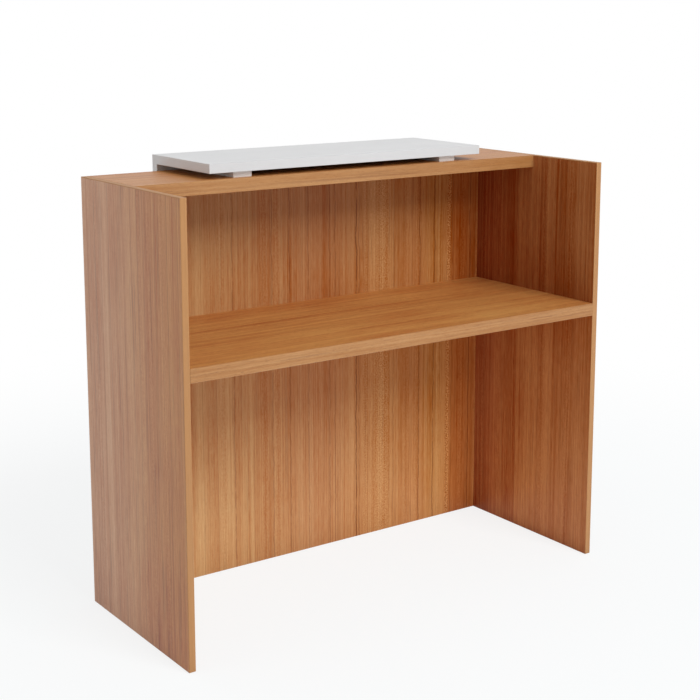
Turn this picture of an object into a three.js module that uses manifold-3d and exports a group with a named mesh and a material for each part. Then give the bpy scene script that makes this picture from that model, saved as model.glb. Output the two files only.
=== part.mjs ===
// Panel-built reception desk: two end panels carry a sitting-height worktop and a standing-height
// shelf, a front panel closes the visitor's side, and a white counter board with a mitred fascia
// stands off the wood on rails and battens.
// Millimetres. +X is the clerk's right, +Y points to the visitor, +Z is up.
// The origin is on the floor, under the middle of the whole desk.

import * as THREE from "three";
import { mergeVertices } from "three/addons/utils/BufferGeometryUtils.js";
import Module from "manifold-3d";

const wasm = await Module();
wasm.setup();

// Driving dimensions of the wood carcass
const WIDTH = 1356;
const PANEL_DEPTH = 533;
const PANEL_HEIGHT = 1170;
const BOARD = 18;
const THICK_BOARD = 36;
const WORKTOP_HEIGHT = 763;
const SHELF_SETBACK = 264;

// Driving dimensions of the white counter
const COUNTER_WIDTH = 896;
const COUNTER_BOARD = 25;
const STANDOFF = 16;
const FASCIA_ABOVE_FLOOR = 230;
const RAIL_WIDTH = 55;
const RAIL_INSET = 80;
const RAIL_SETBACK = 17;
const BATTEN_ABOVE_FASCIA_EDGE = 60;

// Edge bands and joints between boards
const BAND = 2;
const BAND_RADIUS = 1.5;
const CLEARANCE = 0.3;
const MITRE_EASE = 1;
const BORE_OVERRUN = 1;

// Cam fittings
const CAM_RADIUS = 7.5;
const CAM_HEIGHT = 23;
const CAM_FROM_END = 34;
const CAM_BEVEL = 0.7;
const CAM_MOUTH_RADIUS = 4.2;
const CAM_MOUTH_PAST_CENTRE = 3;
const BOLT_THREAD_RADIUS = 3;
const BOLT_THREAD_LENGTH = 11;
const BOLT_SHAFT_RADIUS = 3.5;
const BOLT_NECK_RADIUS = 2;
const BOLT_NECK_LENGTH = 4;
const BOLT_HEAD_RADIUS = 3.4;
const BOLT_HEAD_LENGTH = 3;
const BOLT_CHAMFER = 1;
const WORKTOP_CAM_FROM_FRONT = 60;
const WORKTOP_CAM_FROM_BACK = 60;
const SHELF_CAM_FROM_EDGE = 45;

// Countersunk screws
const SCREW_RADIUS = 2.8;
const SCREW_HEAD_RADIUS = 5.6;
const SCREW_HEAD_LENGTH = 3.4;
const SCREW_TIP_LENGTH = 5;
const SCREW_BITE = 16;
const COUNTER_SCREW_FROM_RAIL_END = 40;
const FASCIA_SCREW_LOWER = 640;
const FASCIA_SCREW_UPPER = 1112;

// Drive recesses of the screws and cams
const RECESS_LENGTH = 6;
const RECESS_WIDTH = 1.4;
const RECESS_DEPTH = 2;

// Dowels and biscuits
const DOWEL_RADIUS = 4;
const DOWEL_IN_END_PANEL = 10;
const DOWEL_IN_FRONT_PANEL = 22;
const DOWEL_CHAMFER = 1;
const DOWEL_LOWER = 250;
const DOWEL_UPPER = 900;
const BISCUIT_LENGTH = 56;
const BISCUIT_WIDTH = 23;
const BISCUIT_THICKNESS = 4;
const BISCUIT_FROM_MIDDLE = 250;
const BISCUIT_PLACE_ON_MITRE = 0.4;

// Floor glides
const GLIDE_HEIGHT = 2;
const GLIDE_LENGTH = 32;
const GLIDE_WIDTH = 12;
const GLIDE_PIN_RADIUS = 1.6;
const GLIDE_PIN_LENGTH = 14;
const GLIDE_FROM_EDGE = 45;

// Facets of round pieces
const FINE_SIDES = 16;
const COARSE_SIDES = 12;
const BURIED_SIDES = 8;
const CORNER_STEPS = 2;
const BISCUIT_STEPS = 4;
const MERGE_DISTANCE = 1e-4;

// Places worked out from the driving dimensions
const OVERALL_DEPTH = PANEL_DEPTH + STANDOFF + COUNTER_BOARD;
const FRONT = -OVERALL_DEPTH / 2;
const PANEL_BACK = FRONT + PANEL_DEPTH;
const FRONT_PANEL_INSIDE = PANEL_BACK - BOARD;
const FASCIA_INSIDE = PANEL_BACK + STANDOFF;
const FASCIA_OUTSIDE = FASCIA_INSIDE + COUNTER_BOARD;
const SHELF_FRONT = FRONT + SHELF_SETBACK;
const INSIDE = WIDTH / 2 - BOARD;
const WORKTOP_UNDERSIDE = WORKTOP_HEIGHT - THICK_BOARD;
const SHELF_UNDERSIDE = PANEL_HEIGHT - THICK_BOARD;
const COUNTER_UNDERSIDE = PANEL_HEIGHT + STANDOFF;
const COUNTER_TOP = COUNTER_UNDERSIDE + COUNTER_BOARD;
const RAIL_MIDDLE = COUNTER_WIDTH / 2 - RAIL_INSET - RAIL_WIDTH / 2;
const RAIL_FRONT = SHELF_FRONT + RAIL_SETBACK;

const X = new THREE.Vector3(1, 0, 0);
const Y = new THREE.Vector3(0, 1, 0);
const Z = new THREE.Vector3(0, 0, 1);
const LEFT_AND_RIGHT = { left: -1, right: 1 };

// Colours and surface of each finish
const FINISHES = {
  wood: { color: 0xb07a4b, roughness: 0.45, metalness: 0 },
  woodEdge: { color: 0xc49562, roughness: 0.4, metalness: 0 },
  white: { color: 0xe9e9e7, roughness: 0.35, metalness: 0 },
  whiteEdge: { color: 0xe2e2df, roughness: 0.4, metalness: 0 },
  beech: { color: 0xd3b083, roughness: 0.7, metalness: 0 },
  zinc: { color: 0xa9abad, roughness: 0.4, metalness: 1 },
  steel: { color: 0xc3c5c8, roughness: 0.3, metalness: 1 },
  nylon: { color: 0x2b2a29, roughness: 0.6, metalness: 0 },
};

const desk = new THREE.Group();
desk.name = "reception_desk";

// Adds one piece to the desk under its own name and material.
function addPiece(name, geometry, finish) {
  const piece = new THREE.Mesh(geometry, new THREE.MeshStandardMaterial(FINISHES[finish]));
  piece.name = name;
  desk.add(piece);
  return piece;
}

// A geometry as a closed solid that can be joined and cut.
function solidOf(geometry) {
  const bare = geometry.clone();
  bare.deleteAttribute("normal");
  bare.deleteAttribute("uv");
  const merged = mergeVertices(bare, MERGE_DISTANCE);
  const mesh = new wasm.Mesh({
    numProp: 3,
    vertProperties: merged.attributes.position.array,
    triVerts: new Uint32Array(merged.index.array),
  });
  return new wasm.Manifold(mesh);
}

// A closed solid as a geometry with flat faces.
function geometryOf(solid) {
  const mesh = solid.getMesh();
  const geometry = new THREE.BufferGeometry();
  geometry.setAttribute("position", new THREE.BufferAttribute(mesh.vertProperties, 3));
  geometry.setIndex(new THREE.BufferAttribute(mesh.triVerts, 1));
  const faceted = geometry.toNonIndexed();
  faceted.computeVertexNormals();
  return faceted;
}

// The geometry with every cutter taken away.
function cut(geometry, cutters) {
  const left = cutters.reduce((solid, cutter) => solid.subtract(solidOf(cutter)), solidOf(geometry));
  return geometryOf(left);
}

function at(x, y, z) {
  return new THREE.Vector3(x, y, z);
}

// A square-cut board between two opposite corners.
function board(low, high) {
  const size = high.clone().sub(low);
  const middle = high.clone().add(low).multiplyScalar(0.5);
  return new THREE.BoxGeometry(size.x, size.y, size.z).translate(middle.x, middle.y, middle.z);
}

// Turns a geometry built upwards from the origin so that it runs from a point along a direction.
function runFrom(geometry, point, direction) {
  const turn = new THREE.Quaternion().setFromUnitVectors(Z, direction);
  return geometry.applyQuaternion(turn).translate(point.x, point.y, point.z);
}

// A turned piece from pairs of radius and height, standing on the origin.
function turned(pairs, sides) {
  const profile = pairs.map(([radius, height]) => new THREE.Vector2(radius, height));
  return new THREE.LatheGeometry(profile, sides).rotateX(Math.PI / 2);
}

// A plain round bore that starts a little outside the face it is drilled from.
function bore(radius, face, direction, depth, sides = COARSE_SIDES) {
  const length = depth + BORE_OVERRUN;
  const drill = turned([[0, 0], [radius, 0], [radius, length], [0, length]], sides);
  return runFrom(drill, face.clone().addScaledVector(direction, -BORE_OVERRUN), direction);
}

// A cross recess, cut into a head that lies at the origin and faces down.
function crossRecess() {
  const long = new THREE.BoxGeometry(RECESS_LENGTH, RECESS_WIDTH, 2 * RECESS_DEPTH);
  return [long, long.clone().rotateZ(Math.PI / 2)];
}

// An edge band: a strip with its two outer corners rounded, glued to the middle line of a board's edge.
function edgeBand(width, length, start, outward, along) {
  const half = width / 2;
  const shoulder = BAND - BAND_RADIUS;
  const profile = new THREE.Shape();
  profile.moveTo(-half, 0);
  profile.lineTo(half, 0);
  profile.lineTo(half, shoulder);
  profile.absarc(half - BAND_RADIUS, shoulder, BAND_RADIUS, 0, Math.PI / 2);
  profile.lineTo(BAND_RADIUS - half, BAND);
  profile.absarc(BAND_RADIUS - half, shoulder, BAND_RADIUS, Math.PI / 2, Math.PI);
  profile.closePath();
  const strip = new THREE.ExtrudeGeometry(profile, {
    depth: length,
    bevelEnabled: false,
    curveSegments: CORNER_STEPS,
  });
  const across = outward.clone().cross(along);
  const place = new THREE.Matrix4().makeBasis(across, outward, along).setPosition(start);
  return strip.applyMatrix4(place);
}

// A board whose outline lies in the YZ plane, running across the counter's width.
function acrossCounter(outline, width) {
  const shape = new THREE.Shape(outline.map(([y, z]) => new THREE.Vector2(y, z)));
  const slab = new THREE.ExtrudeGeometry(shape, { depth: width, bevelEnabled: false });
  const place = new THREE.Matrix4().makeBasis(Y, Z, X).setPosition(at(-width / 2, 0, 0));
  return slab.applyMatrix4(place);
}

// Where each fitting sits
const WORKTOP_CAM_ROWS = {
  front: FRONT + WORKTOP_CAM_FROM_FRONT,
  back: FRONT_PANEL_INSIDE - WORKTOP_CAM_FROM_BACK,
};
const SHELF_CAM_ROWS = {
  front: SHELF_FRONT + SHELF_CAM_FROM_EDGE,
  back: PANEL_BACK - SHELF_CAM_FROM_EDGE,
};
const COUNTER_SCREW_ROWS = {
  front: RAIL_FRONT + COUNTER_SCREW_FROM_RAIL_END,
  back: PANEL_BACK - COUNTER_SCREW_FROM_RAIL_END,
};
const FASCIA_SCREW_ROWS = { lower: FASCIA_SCREW_LOWER, upper: FASCIA_SCREW_UPPER };
const DOWEL_ROWS = { lower: DOWEL_LOWER, upper: DOWEL_UPPER };
const GLIDE_ROWS = { front: FRONT + GLIDE_FROM_EDGE, back: PANEL_BACK - GLIDE_FROM_EDGE };
const CAM_TIERS = {
  worktop: { underside: WORKTOP_UNDERSIDE, rows: WORKTOP_CAM_ROWS },
  shelf: { underside: SHELF_UNDERSIDE, rows: SHELF_CAM_ROWS },
};
const DOWEL_LINE = FRONT_PANEL_INSIDE + BOARD / 2;
const COUNTER_SCREW_LENGTH = THICK_BOARD + STANDOFF + SCREW_BITE;
const FASCIA_SCREW_LENGTH = BOARD + STANDOFF + SCREW_BITE;

// Calls a function once for each side and each row of a set of fittings.
function eachFitting(rows, make) {
  for (const [side, sign] of Object.entries(LEFT_AND_RIGHT)) {
    for (const [row, place] of Object.entries(rows)) {
      make(side, sign, row, place);
    }
  }
}

// Bores that one end of a thick board needs for its cams: a pocket from below and a bolt hole from the end.
function camBores(tier) {
  const bores = [];
  eachFitting(tier.rows, (side, sign, row, y) => {
    const inward = X.clone().multiplyScalar(-sign);
    const pocket = at(sign * (INSIDE - CAM_FROM_END), y, tier.underside);
    const boltHole = at(sign * INSIDE, y, tier.underside + THICK_BOARD / 2);
    bores.push(bore(CAM_RADIUS + CLEARANCE, pocket, Z, CAM_HEIGHT + CLEARANCE, FINE_SIDES));
    bores.push(bore(BOLT_SHAFT_RADIUS + CLEARANCE, boltHole, inward, CAM_FROM_END));
  });
  return bores;
}

// A screw hole through boards, with the countersink for its head.
function screwHole(face, direction, depth) {
  const hole = SCREW_RADIUS + CLEARANCE;
  const mouth = SCREW_HEAD_RADIUS + CLEARANCE;
  const profile = [[0, -BORE_OVERRUN], [mouth, -BORE_OVERRUN], [mouth, 0]];
  profile.push([hole, SCREW_HEAD_LENGTH], [hole, depth], [0, depth]);
  return runFrom(turned(profile, COARSE_SIDES), face, direction);
}

// End panels
function endPanelBores(sign) {
  const outward = X.clone().multiplyScalar(sign);
  const face = sign * INSIDE;
  const bores = [];
  for (const tier of Object.values(CAM_TIERS)) {
    for (const y of Object.values(tier.rows)) {
      const mouth = at(face, y, tier.underside + THICK_BOARD / 2);
      bores.push(bore(BOLT_THREAD_RADIUS + CLEARANCE, mouth, outward, BOLT_THREAD_LENGTH + CLEARANCE));
    }
  }
  for (const z of Object.values(DOWEL_ROWS)) {
    const mouth = at(face, DOWEL_LINE, z);
    bores.push(bore(DOWEL_RADIUS + CLEARANCE, mouth, outward, DOWEL_IN_END_PANEL + CLEARANCE));
  }
  for (const y of Object.values(GLIDE_ROWS)) {
    const mouth = at(sign * (INSIDE + BOARD / 2), y, GLIDE_HEIGHT);
    bores.push(bore(GLIDE_PIN_RADIUS + CLEARANCE, mouth, Z, GLIDE_PIN_LENGTH + CLEARANCE));
  }
  return bores;
}

for (const [side, sign] of Object.entries(LEFT_AND_RIGHT)) {
  const middle = sign * (INSIDE + BOARD / 2);
  const low = at(middle - BOARD / 2, FRONT + BAND, GLIDE_HEIGHT);
  const high = at(middle + BOARD / 2, PANEL_BACK - BAND, PANEL_HEIGHT - BAND);
  const upright = PANEL_HEIGHT - GLIDE_HEIGHT;
  const level = PANEL_DEPTH - 2 * BAND;
  addPiece(`${side}_end_panel`, cut(board(low, high), endPanelBores(sign)), "wood");
  const frontFoot = at(middle, FRONT + BAND, GLIDE_HEIGHT);
  const backFoot = at(middle, PANEL_BACK - BAND, GLIDE_HEIGHT);
  const topFront = at(middle, FRONT + BAND, PANEL_HEIGHT - BAND);
  const toClerk = Y.clone().negate();
  addPiece(`${side}_end_panel_front_band`, edgeBand(BOARD, upright, frontFoot, toClerk, Z), "woodEdge");
  addPiece(`${side}_end_panel_back_band`, edgeBand(BOARD, upright, backFoot, Y, Z), "woodEdge");
  addPiece(`${side}_end_panel_top_band`, edgeBand(BOARD, level, topFront, Z, Y), "woodEdge");
}

// Front panel, between the end panels and under the back of the shelf
function frontPanelBores() {
  const bores = [];
  eachFitting(DOWEL_ROWS, (side, sign, row, z) => {
    const inward = X.clone().multiplyScalar(-sign);
    const mouth = at(sign * INSIDE, DOWEL_LINE, z);
    bores.push(bore(DOWEL_RADIUS + CLEARANCE, mouth, inward, DOWEL_IN_FRONT_PANEL + CLEARANCE));
  });
  eachFitting(FASCIA_SCREW_ROWS, (side, sign, row, z) => {
    const mouth = at(sign * RAIL_MIDDLE, FRONT_PANEL_INSIDE, z);
    bores.push(screwHole(mouth, Y, BOARD + BORE_OVERRUN));
  });
  return bores;
}

const frontPanelLow = at(-INSIDE, FRONT_PANEL_INSIDE, GLIDE_HEIGHT);
const frontPanelHigh = at(INSIDE, PANEL_BACK, SHELF_UNDERSIDE);
addPiece("front_panel", cut(board(frontPanelLow, frontPanelHigh), frontPanelBores()), "wood");

// Worktop at sitting height
const worktopLow = at(-INSIDE, FRONT + BAND, WORKTOP_UNDERSIDE);
const worktopHigh = at(INSIDE, FRONT_PANEL_INSIDE, WORKTOP_HEIGHT);
const worktopEdge = at(-INSIDE, FRONT + BAND, WORKTOP_HEIGHT - THICK_BOARD / 2);
addPiece("worktop", cut(board(worktopLow, worktopHigh), camBores(CAM_TIERS.worktop)), "wood");
const worktopBand = edgeBand(THICK_BOARD, 2 * INSIDE, worktopEdge, Y.clone().negate(), X);
addPiece("worktop_front_band", worktopBand, "woodEdge");

// Shelf at standing height
function shelfBores() {
  const bores = camBores(CAM_TIERS.shelf);
  eachFitting(COUNTER_SCREW_ROWS, (side, sign, row, y) => {
    const mouth = at(sign * RAIL_MIDDLE, y, SHELF_UNDERSIDE);
    bores.push(screwHole(mouth, Z, THICK_BOARD + BORE_OVERRUN));
  });
  return bores;
}

const shelfLow = at(-INSIDE, SHELF_FRONT + BAND, SHELF_UNDERSIDE);
const shelfHigh = at(INSIDE, PANEL_BACK - BAND, PANEL_HEIGHT);
const shelfMiddle = PANEL_HEIGHT - THICK_BOARD / 2;
const shelfFrontEdge = at(-INSIDE, SHELF_FRONT + BAND, shelfMiddle);
const shelfBackEdge = at(-INSIDE, PANEL_BACK - BAND, shelfMiddle);
addPiece("counter_shelf", cut(board(shelfLow, shelfHigh), shelfBores()), "wood");
const shelfFrontBand = edgeBand(THICK_BOARD, 2 * INSIDE, shelfFrontEdge, Y.clone().negate(), X);
addPiece("counter_shelf_front_band", shelfFrontBand, "woodEdge");
const shelfBackBand = edgeBand(THICK_BOARD, 2 * INSIDE, shelfBackEdge, Y, X);
addPiece("counter_shelf_back_band", shelfBackBand, "woodEdge");

// Rails on the shelf and battens on the front panel, which hold the white boards off the wood
const battenFoot = FASCIA_ABOVE_FLOOR + BATTEN_ABOVE_FASCIA_EDGE;
for (const [side, sign] of Object.entries(LEFT_AND_RIGHT)) {
  const nearX = sign * RAIL_MIDDLE - RAIL_WIDTH / 2;
  const farX = sign * RAIL_MIDDLE + RAIL_WIDTH / 2;
  const hole = SCREW_RADIUS + CLEARANCE;
  const through = STANDOFF + BORE_OVERRUN;
  const rail = board(at(nearX, RAIL_FRONT, PANEL_HEIGHT), at(farX, PANEL_BACK, COUNTER_UNDERSIDE));
  const railHoles = Object.values(COUNTER_SCREW_ROWS).map((y) => {
    return bore(hole, at(sign * RAIL_MIDDLE, y, PANEL_HEIGHT), Z, through);
  });
  addPiece(`${side}_counter_rail`, cut(rail, railHoles), "white");
  const batten = board(at(nearX, PANEL_BACK, battenFoot), at(farX, FASCIA_INSIDE, COUNTER_UNDERSIDE));
  const battenHoles = Object.values(FASCIA_SCREW_ROWS).map((z) => {
    return bore(hole, at(sign * RAIL_MIDDLE, PANEL_BACK, z), Y, through);
  });
  addPiece(`${side}_fascia_batten`, cut(batten, battenHoles), "white");
}

// Mitred corner of the white boards: its outline in depth and height, with a hairline left for the glue
const mitreBoard = FASCIA_INSIDE - CLEARANCE / 2;
const mitreFascia = FASCIA_INSIDE + CLEARANCE / 2;
const easedBack = FASCIA_OUTSIDE - MITRE_EASE / 2;
const easedTop = COUNTER_TOP - MITRE_EASE / 2;

function counterOutline(front) {
  return [
    [front, COUNTER_UNDERSIDE],
    [mitreBoard, COUNTER_UNDERSIDE],
    [easedBack - CLEARANCE / 2, easedTop],
    [FASCIA_OUTSIDE - MITRE_EASE, COUNTER_TOP],
    [front, COUNTER_TOP],
  ];
}

function fasciaOutline(foot) {
  return [
    [FASCIA_INSIDE, foot],
    [FASCIA_OUTSIDE, foot],
    [FASCIA_OUTSIDE, COUNTER_TOP - MITRE_EASE],
    [easedBack + CLEARANCE / 2, easedTop],
    [mitreFascia, COUNTER_UNDERSIDE],
    [FASCIA_INSIDE, COUNTER_UNDERSIDE - CLEARANCE / 2],
  ];
}

// A biscuit lies across the mitre, its long axis along the joint.
function biscuit(x, spare) {
  const half = BISCUIT_LENGTH / 2 + spare;
  const bulge = BISCUIT_WIDTH / 2 + spare;
  const thickness = BISCUIT_THICKNESS + 2 * spare;
  const radius = (half * half + bulge * bulge) / (2 * bulge);
  const sweep = Math.asin(half / radius);
  const lens = new THREE.Shape();
  lens.absarc(0, bulge - radius, radius, Math.PI / 2 - sweep, Math.PI / 2 + sweep);
  lens.absarc(0, radius - bulge, radius, -Math.PI / 2 - sweep, -Math.PI / 2 + sweep);
  const blank = new THREE.ExtrudeGeometry(lens, {
    depth: thickness,
    bevelEnabled: false,
    curveSegments: BISCUIT_STEPS,
  });
  blank.translate(0, 0, -thickness / 2);
  const alongMitre = at(0, 1, 1).normalize();
  const acrossMitre = alongMitre.clone().cross(X);
  const rise = BISCUIT_PLACE_ON_MITRE * COUNTER_BOARD;
  const middle = at(x, FASCIA_INSIDE + rise, COUNTER_UNDERSIDE + rise);
  const place = new THREE.Matrix4().makeBasis(X, acrossMitre, alongMitre).setPosition(middle);
  return blank.applyMatrix4(place);
}

const slots = Object.values(LEFT_AND_RIGHT).map((sign) => biscuit(sign * BISCUIT_FROM_MIDDLE, CLEARANCE));
for (const [side, sign] of Object.entries(LEFT_AND_RIGHT)) {
  addPiece(`mitre_biscuit_${side}`, biscuit(sign * BISCUIT_FROM_MIDDLE, 0), "beech");
}

// Raised counter board with its edge bands
const counterCore = COUNTER_WIDTH - 2 * BAND;
const counterBores = [...slots];
eachFitting(COUNTER_SCREW_ROWS, (side, sign, row, y) => {
  const mouth = at(sign * RAIL_MIDDLE, y, COUNTER_UNDERSIDE);
  counterBores.push(bore(SCREW_RADIUS + CLEARANCE, mouth, Z, SCREW_BITE + CLEARANCE));
});
const counterBoard = acrossCounter(counterOutline(SHELF_FRONT + BAND), counterCore);
addPiece("raised_counter_board", cut(counterBoard, counterBores), "white");
const counterMiddle = COUNTER_UNDERSIDE + COUNTER_BOARD / 2;
const counterEdge = at(-counterCore / 2, SHELF_FRONT + BAND, counterMiddle);
const counterFrontBand = edgeBand(COUNTER_BOARD, counterCore, counterEdge, Y.clone().negate(), X);
addPiece("raised_counter_front_band", counterFrontBand, "whiteEdge");

// Fascia on the visitor's side with its edge bands
const fasciaBores = [...slots];
eachFitting(FASCIA_SCREW_ROWS, (side, sign, row, z) => {
  const mouth = at(sign * RAIL_MIDDLE, FASCIA_INSIDE, z);
  fasciaBores.push(bore(SCREW_RADIUS + CLEARANCE, mouth, Y, SCREW_BITE + CLEARANCE));
});
const fasciaBoard = acrossCounter(fasciaOutline(FASCIA_ABOVE_FLOOR + BAND), counterCore);
addPiece("fascia_board", cut(fasciaBoard, fasciaBores), "white");
const fasciaMiddle = FASCIA_INSIDE + COUNTER_BOARD / 2;
const fasciaEdge = at(-counterCore / 2, fasciaMiddle, FASCIA_ABOVE_FLOOR + BAND);
const fasciaBottomBand = edgeBand(COUNTER_BOARD, counterCore, fasciaEdge, Z.clone().negate(), X);
addPiece("fascia_bottom_band", fasciaBottomBand, "whiteEdge");

// End bands of the white boards, mitred like the boards
for (const [side, sign] of Object.entries(LEFT_AND_RIGHT)) {
  const outward = X.clone().multiplyScalar(sign);
  const glued = (sign * counterCore) / 2;
  const reach = FASCIA_OUTSIDE - SHELF_FRONT;
  const rise = COUNTER_TOP - FASCIA_ABOVE_FLOOR;
  const level = edgeBand(COUNTER_BOARD, reach, at(glued, SHELF_FRONT, counterMiddle), outward, Y);
  const upright = edgeBand(COUNTER_BOARD, rise, at(glued, fasciaMiddle, FASCIA_ABOVE_FLOOR), outward, Z);
  const counterSide = solidOf(acrossCounter(counterOutline(SHELF_FRONT), WIDTH));
  const fasciaSide = solidOf(acrossCounter(fasciaOutline(FASCIA_ABOVE_FLOOR), WIDTH));
  const counterBand = geometryOf(solidOf(level).intersect(counterSide));
  const fasciaBand = geometryOf(solidOf(upright).intersect(fasciaSide));
  addPiece(`raised_counter_${side}_band`, counterBand, "whiteEdge");
  addPiece(`fascia_${side}_band`, fasciaBand, "whiteEdge");
}

// Cam housing, standing on its driven end, with the mouth that takes the bolt's head on its +X side
function camHousing() {
  const drum = turned([
    [0, 0],
    [CAM_RADIUS - CAM_BEVEL, 0],
    [CAM_RADIUS, CAM_BEVEL],
    [CAM_RADIUS, CAM_HEIGHT],
    [0, CAM_HEIGHT],
  ], FINE_SIDES);
  const mouthStart = at(CAM_RADIUS, 0, THICK_BOARD / 2);
  const mouthDepth = CAM_RADIUS + CAM_MOUTH_PAST_CENTRE;
  const mouth = bore(CAM_MOUTH_RADIUS, mouthStart, X.clone().negate(), mouthDepth);
  return cut(drum, [mouth, ...crossRecess()]);
}

// Bolt that screws into an end panel; the origin is on the panel's face and the head is up
function camBolt() {
  const neck = CAM_FROM_END - BOLT_HEAD_LENGTH - BOLT_NECK_LENGTH;
  return turned([
    [0, -BOLT_THREAD_LENGTH],
    [BOLT_THREAD_RADIUS - BOLT_CHAMFER, -BOLT_THREAD_LENGTH],
    [BOLT_THREAD_RADIUS, BOLT_CHAMFER - BOLT_THREAD_LENGTH],
    [BOLT_THREAD_RADIUS, 0],
    [BOLT_SHAFT_RADIUS, 0],
    [BOLT_SHAFT_RADIUS, neck - BOLT_CHAMFER],
    [BOLT_NECK_RADIUS, neck],
    [BOLT_NECK_RADIUS, neck + BOLT_NECK_LENGTH],
    [BOLT_HEAD_RADIUS, neck + BOLT_NECK_LENGTH],
    [BOLT_HEAD_RADIUS, CAM_FROM_END - BOLT_CHAMFER],
    [BOLT_HEAD_RADIUS - BOLT_CHAMFER, CAM_FROM_END],
    [0, CAM_FROM_END],
  ], BURIED_SIDES);
}

for (const [boardName, tier] of Object.entries(CAM_TIERS)) {
  eachFitting(tier.rows, (side, sign, row, y) => {
    const cam = addPiece(`${boardName}_cam_${side}_${row}`, camHousing(), "zinc");
    cam.position.set(sign * (INSIDE - CAM_FROM_END), y, tier.underside);
    cam.rotation.z = sign > 0 ? 0 : Math.PI;
    const bolt = addPiece(`${boardName}_cam_bolt_${side}_${row}`, camBolt(), "steel");
    bolt.position.set(sign * INSIDE, y, tier.underside + THICK_BOARD / 2);
    bolt.rotation.y = (-sign * Math.PI) / 2;
  });
}

// Countersunk screw, driven up from the origin, where the face of its head lies
function screw(length) {
  const shank = turned([
    [0, 0],
    [SCREW_HEAD_RADIUS, 0],
    [SCREW_RADIUS, SCREW_HEAD_LENGTH],
    [SCREW_RADIUS, length - SCREW_TIP_LENGTH],
    [0, length],
  ], COARSE_SIDES);
  return cut(shank, crossRecess());
}

eachFitting(COUNTER_SCREW_ROWS, (side, sign, row, y) => {
  const piece = addPiece(`counter_screw_${side}_${row}`, screw(COUNTER_SCREW_LENGTH), "steel");
  piece.position.set(sign * RAIL_MIDDLE, y, SHELF_UNDERSIDE);
});

eachFitting(FASCIA_SCREW_ROWS, (side, sign, row, z) => {
  const piece = addPiece(`fascia_screw_${side}_${row}`, screw(FASCIA_SCREW_LENGTH), "steel");
  piece.position.set(sign * RAIL_MIDDLE, FRONT_PANEL_INSIDE, z);
  piece.rotation.x = -Math.PI / 2;
});

// Dowels between the front panel and the end panels
eachFitting(DOWEL_ROWS, (side, sign, row, z) => {
  const length = DOWEL_IN_END_PANEL + DOWEL_IN_FRONT_PANEL;
  const dowel = turned([
    [0, 0],
    [DOWEL_RADIUS - DOWEL_CHAMFER, 0],
    [DOWEL_RADIUS, DOWEL_CHAMFER],
    [DOWEL_RADIUS, length - DOWEL_CHAMFER],
    [DOWEL_RADIUS - DOWEL_CHAMFER, length],
    [0, length],
  ], BURIED_SIDES);
  const piece = addPiece(`front_panel_dowel_${side}_${row}`, dowel, "beech");
  piece.position.set(sign * (INSIDE + DOWEL_IN_END_PANEL), DOWEL_LINE, z);
  piece.rotation.y = (-sign * Math.PI) / 2;
});

// Floor glide: a pad with round ends on a pin that is pressed into the end panel
function floorGlide() {
  const round = GLIDE_WIDTH / 2;
  const straight = GLIDE_LENGTH / 2 - round;
  const outline = new THREE.Shape();
  outline.absarc(0, straight, round, 0, Math.PI);
  outline.absarc(0, -straight, round, Math.PI, 2 * Math.PI);
  outline.closePath();
  const pad = new THREE.ExtrudeGeometry(outline, {
    depth: GLIDE_HEIGHT,
    bevelEnabled: false,
    curveSegments: FINE_SIDES / 2,
  });
  const top = GLIDE_HEIGHT + GLIDE_PIN_LENGTH;
  const shoulder = top - 2 * GLIDE_PIN_RADIUS;
  const foot = GLIDE_HEIGHT / 2;
  const pinProfile = [[0, foot], [GLIDE_PIN_RADIUS, foot], [GLIDE_PIN_RADIUS, shoulder], [0, top]];
  return geometryOf(solidOf(pad).add(solidOf(turned(pinProfile, COARSE_SIDES))));
}

eachFitting(GLIDE_ROWS, (side, sign, row, y) => {
  const piece = addPiece(`floor_glide_${side}_${row}`, floorGlide(), "nylon");
  piece.position.set(sign * (INSIDE + BOARD / 2), y, 0);
});

export default desk;
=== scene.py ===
"""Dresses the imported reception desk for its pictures.

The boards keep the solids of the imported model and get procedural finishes. The edge bands and the
fittings are modelled again with finer forms. All sizes are in metres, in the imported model's frame.
"""

import logging
import math
from collections.abc import Callable, Iterator
from contextlib import contextmanager
from dataclasses import dataclass
from enum import Enum

import bmesh
import bpy
from mathutils import Color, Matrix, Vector


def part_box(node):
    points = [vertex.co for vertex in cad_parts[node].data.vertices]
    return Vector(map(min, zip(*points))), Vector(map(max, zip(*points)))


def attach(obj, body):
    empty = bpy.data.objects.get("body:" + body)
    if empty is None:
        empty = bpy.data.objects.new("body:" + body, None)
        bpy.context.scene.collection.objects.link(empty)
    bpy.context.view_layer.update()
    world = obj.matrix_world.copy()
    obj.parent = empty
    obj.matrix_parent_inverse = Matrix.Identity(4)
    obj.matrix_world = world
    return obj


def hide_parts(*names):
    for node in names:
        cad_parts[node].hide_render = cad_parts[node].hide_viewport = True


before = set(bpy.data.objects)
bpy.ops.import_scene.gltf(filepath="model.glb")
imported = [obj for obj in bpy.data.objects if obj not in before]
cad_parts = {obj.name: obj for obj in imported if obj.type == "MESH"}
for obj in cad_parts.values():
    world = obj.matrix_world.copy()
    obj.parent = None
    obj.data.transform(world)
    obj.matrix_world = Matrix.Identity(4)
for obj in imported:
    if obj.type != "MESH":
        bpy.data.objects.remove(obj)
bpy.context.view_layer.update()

BODY = "root"
LOG = logging.getLogger("reception_desk")

Span = tuple[float, float]
Place = tuple[float, float, float]
Colour = tuple[float, float, float, float]
Piece = bpy.types.Object
Socket = bpy.types.NodeSocket
Sockets = bpy.types.NodeInputs | bpy.types.NodeOutputs
Feed = Socket | float | Place | Colour


def srgb(red: int, green: int, blue: int) -> Colour:
    """Turn a screen colour, each part from 0 to 255, into the linear colour that a shader takes."""
    screen = Color((red / 255, green / 255, blue / 255))
    return (*screen.from_srgb_to_scene_linear(), 1.0)


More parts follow.
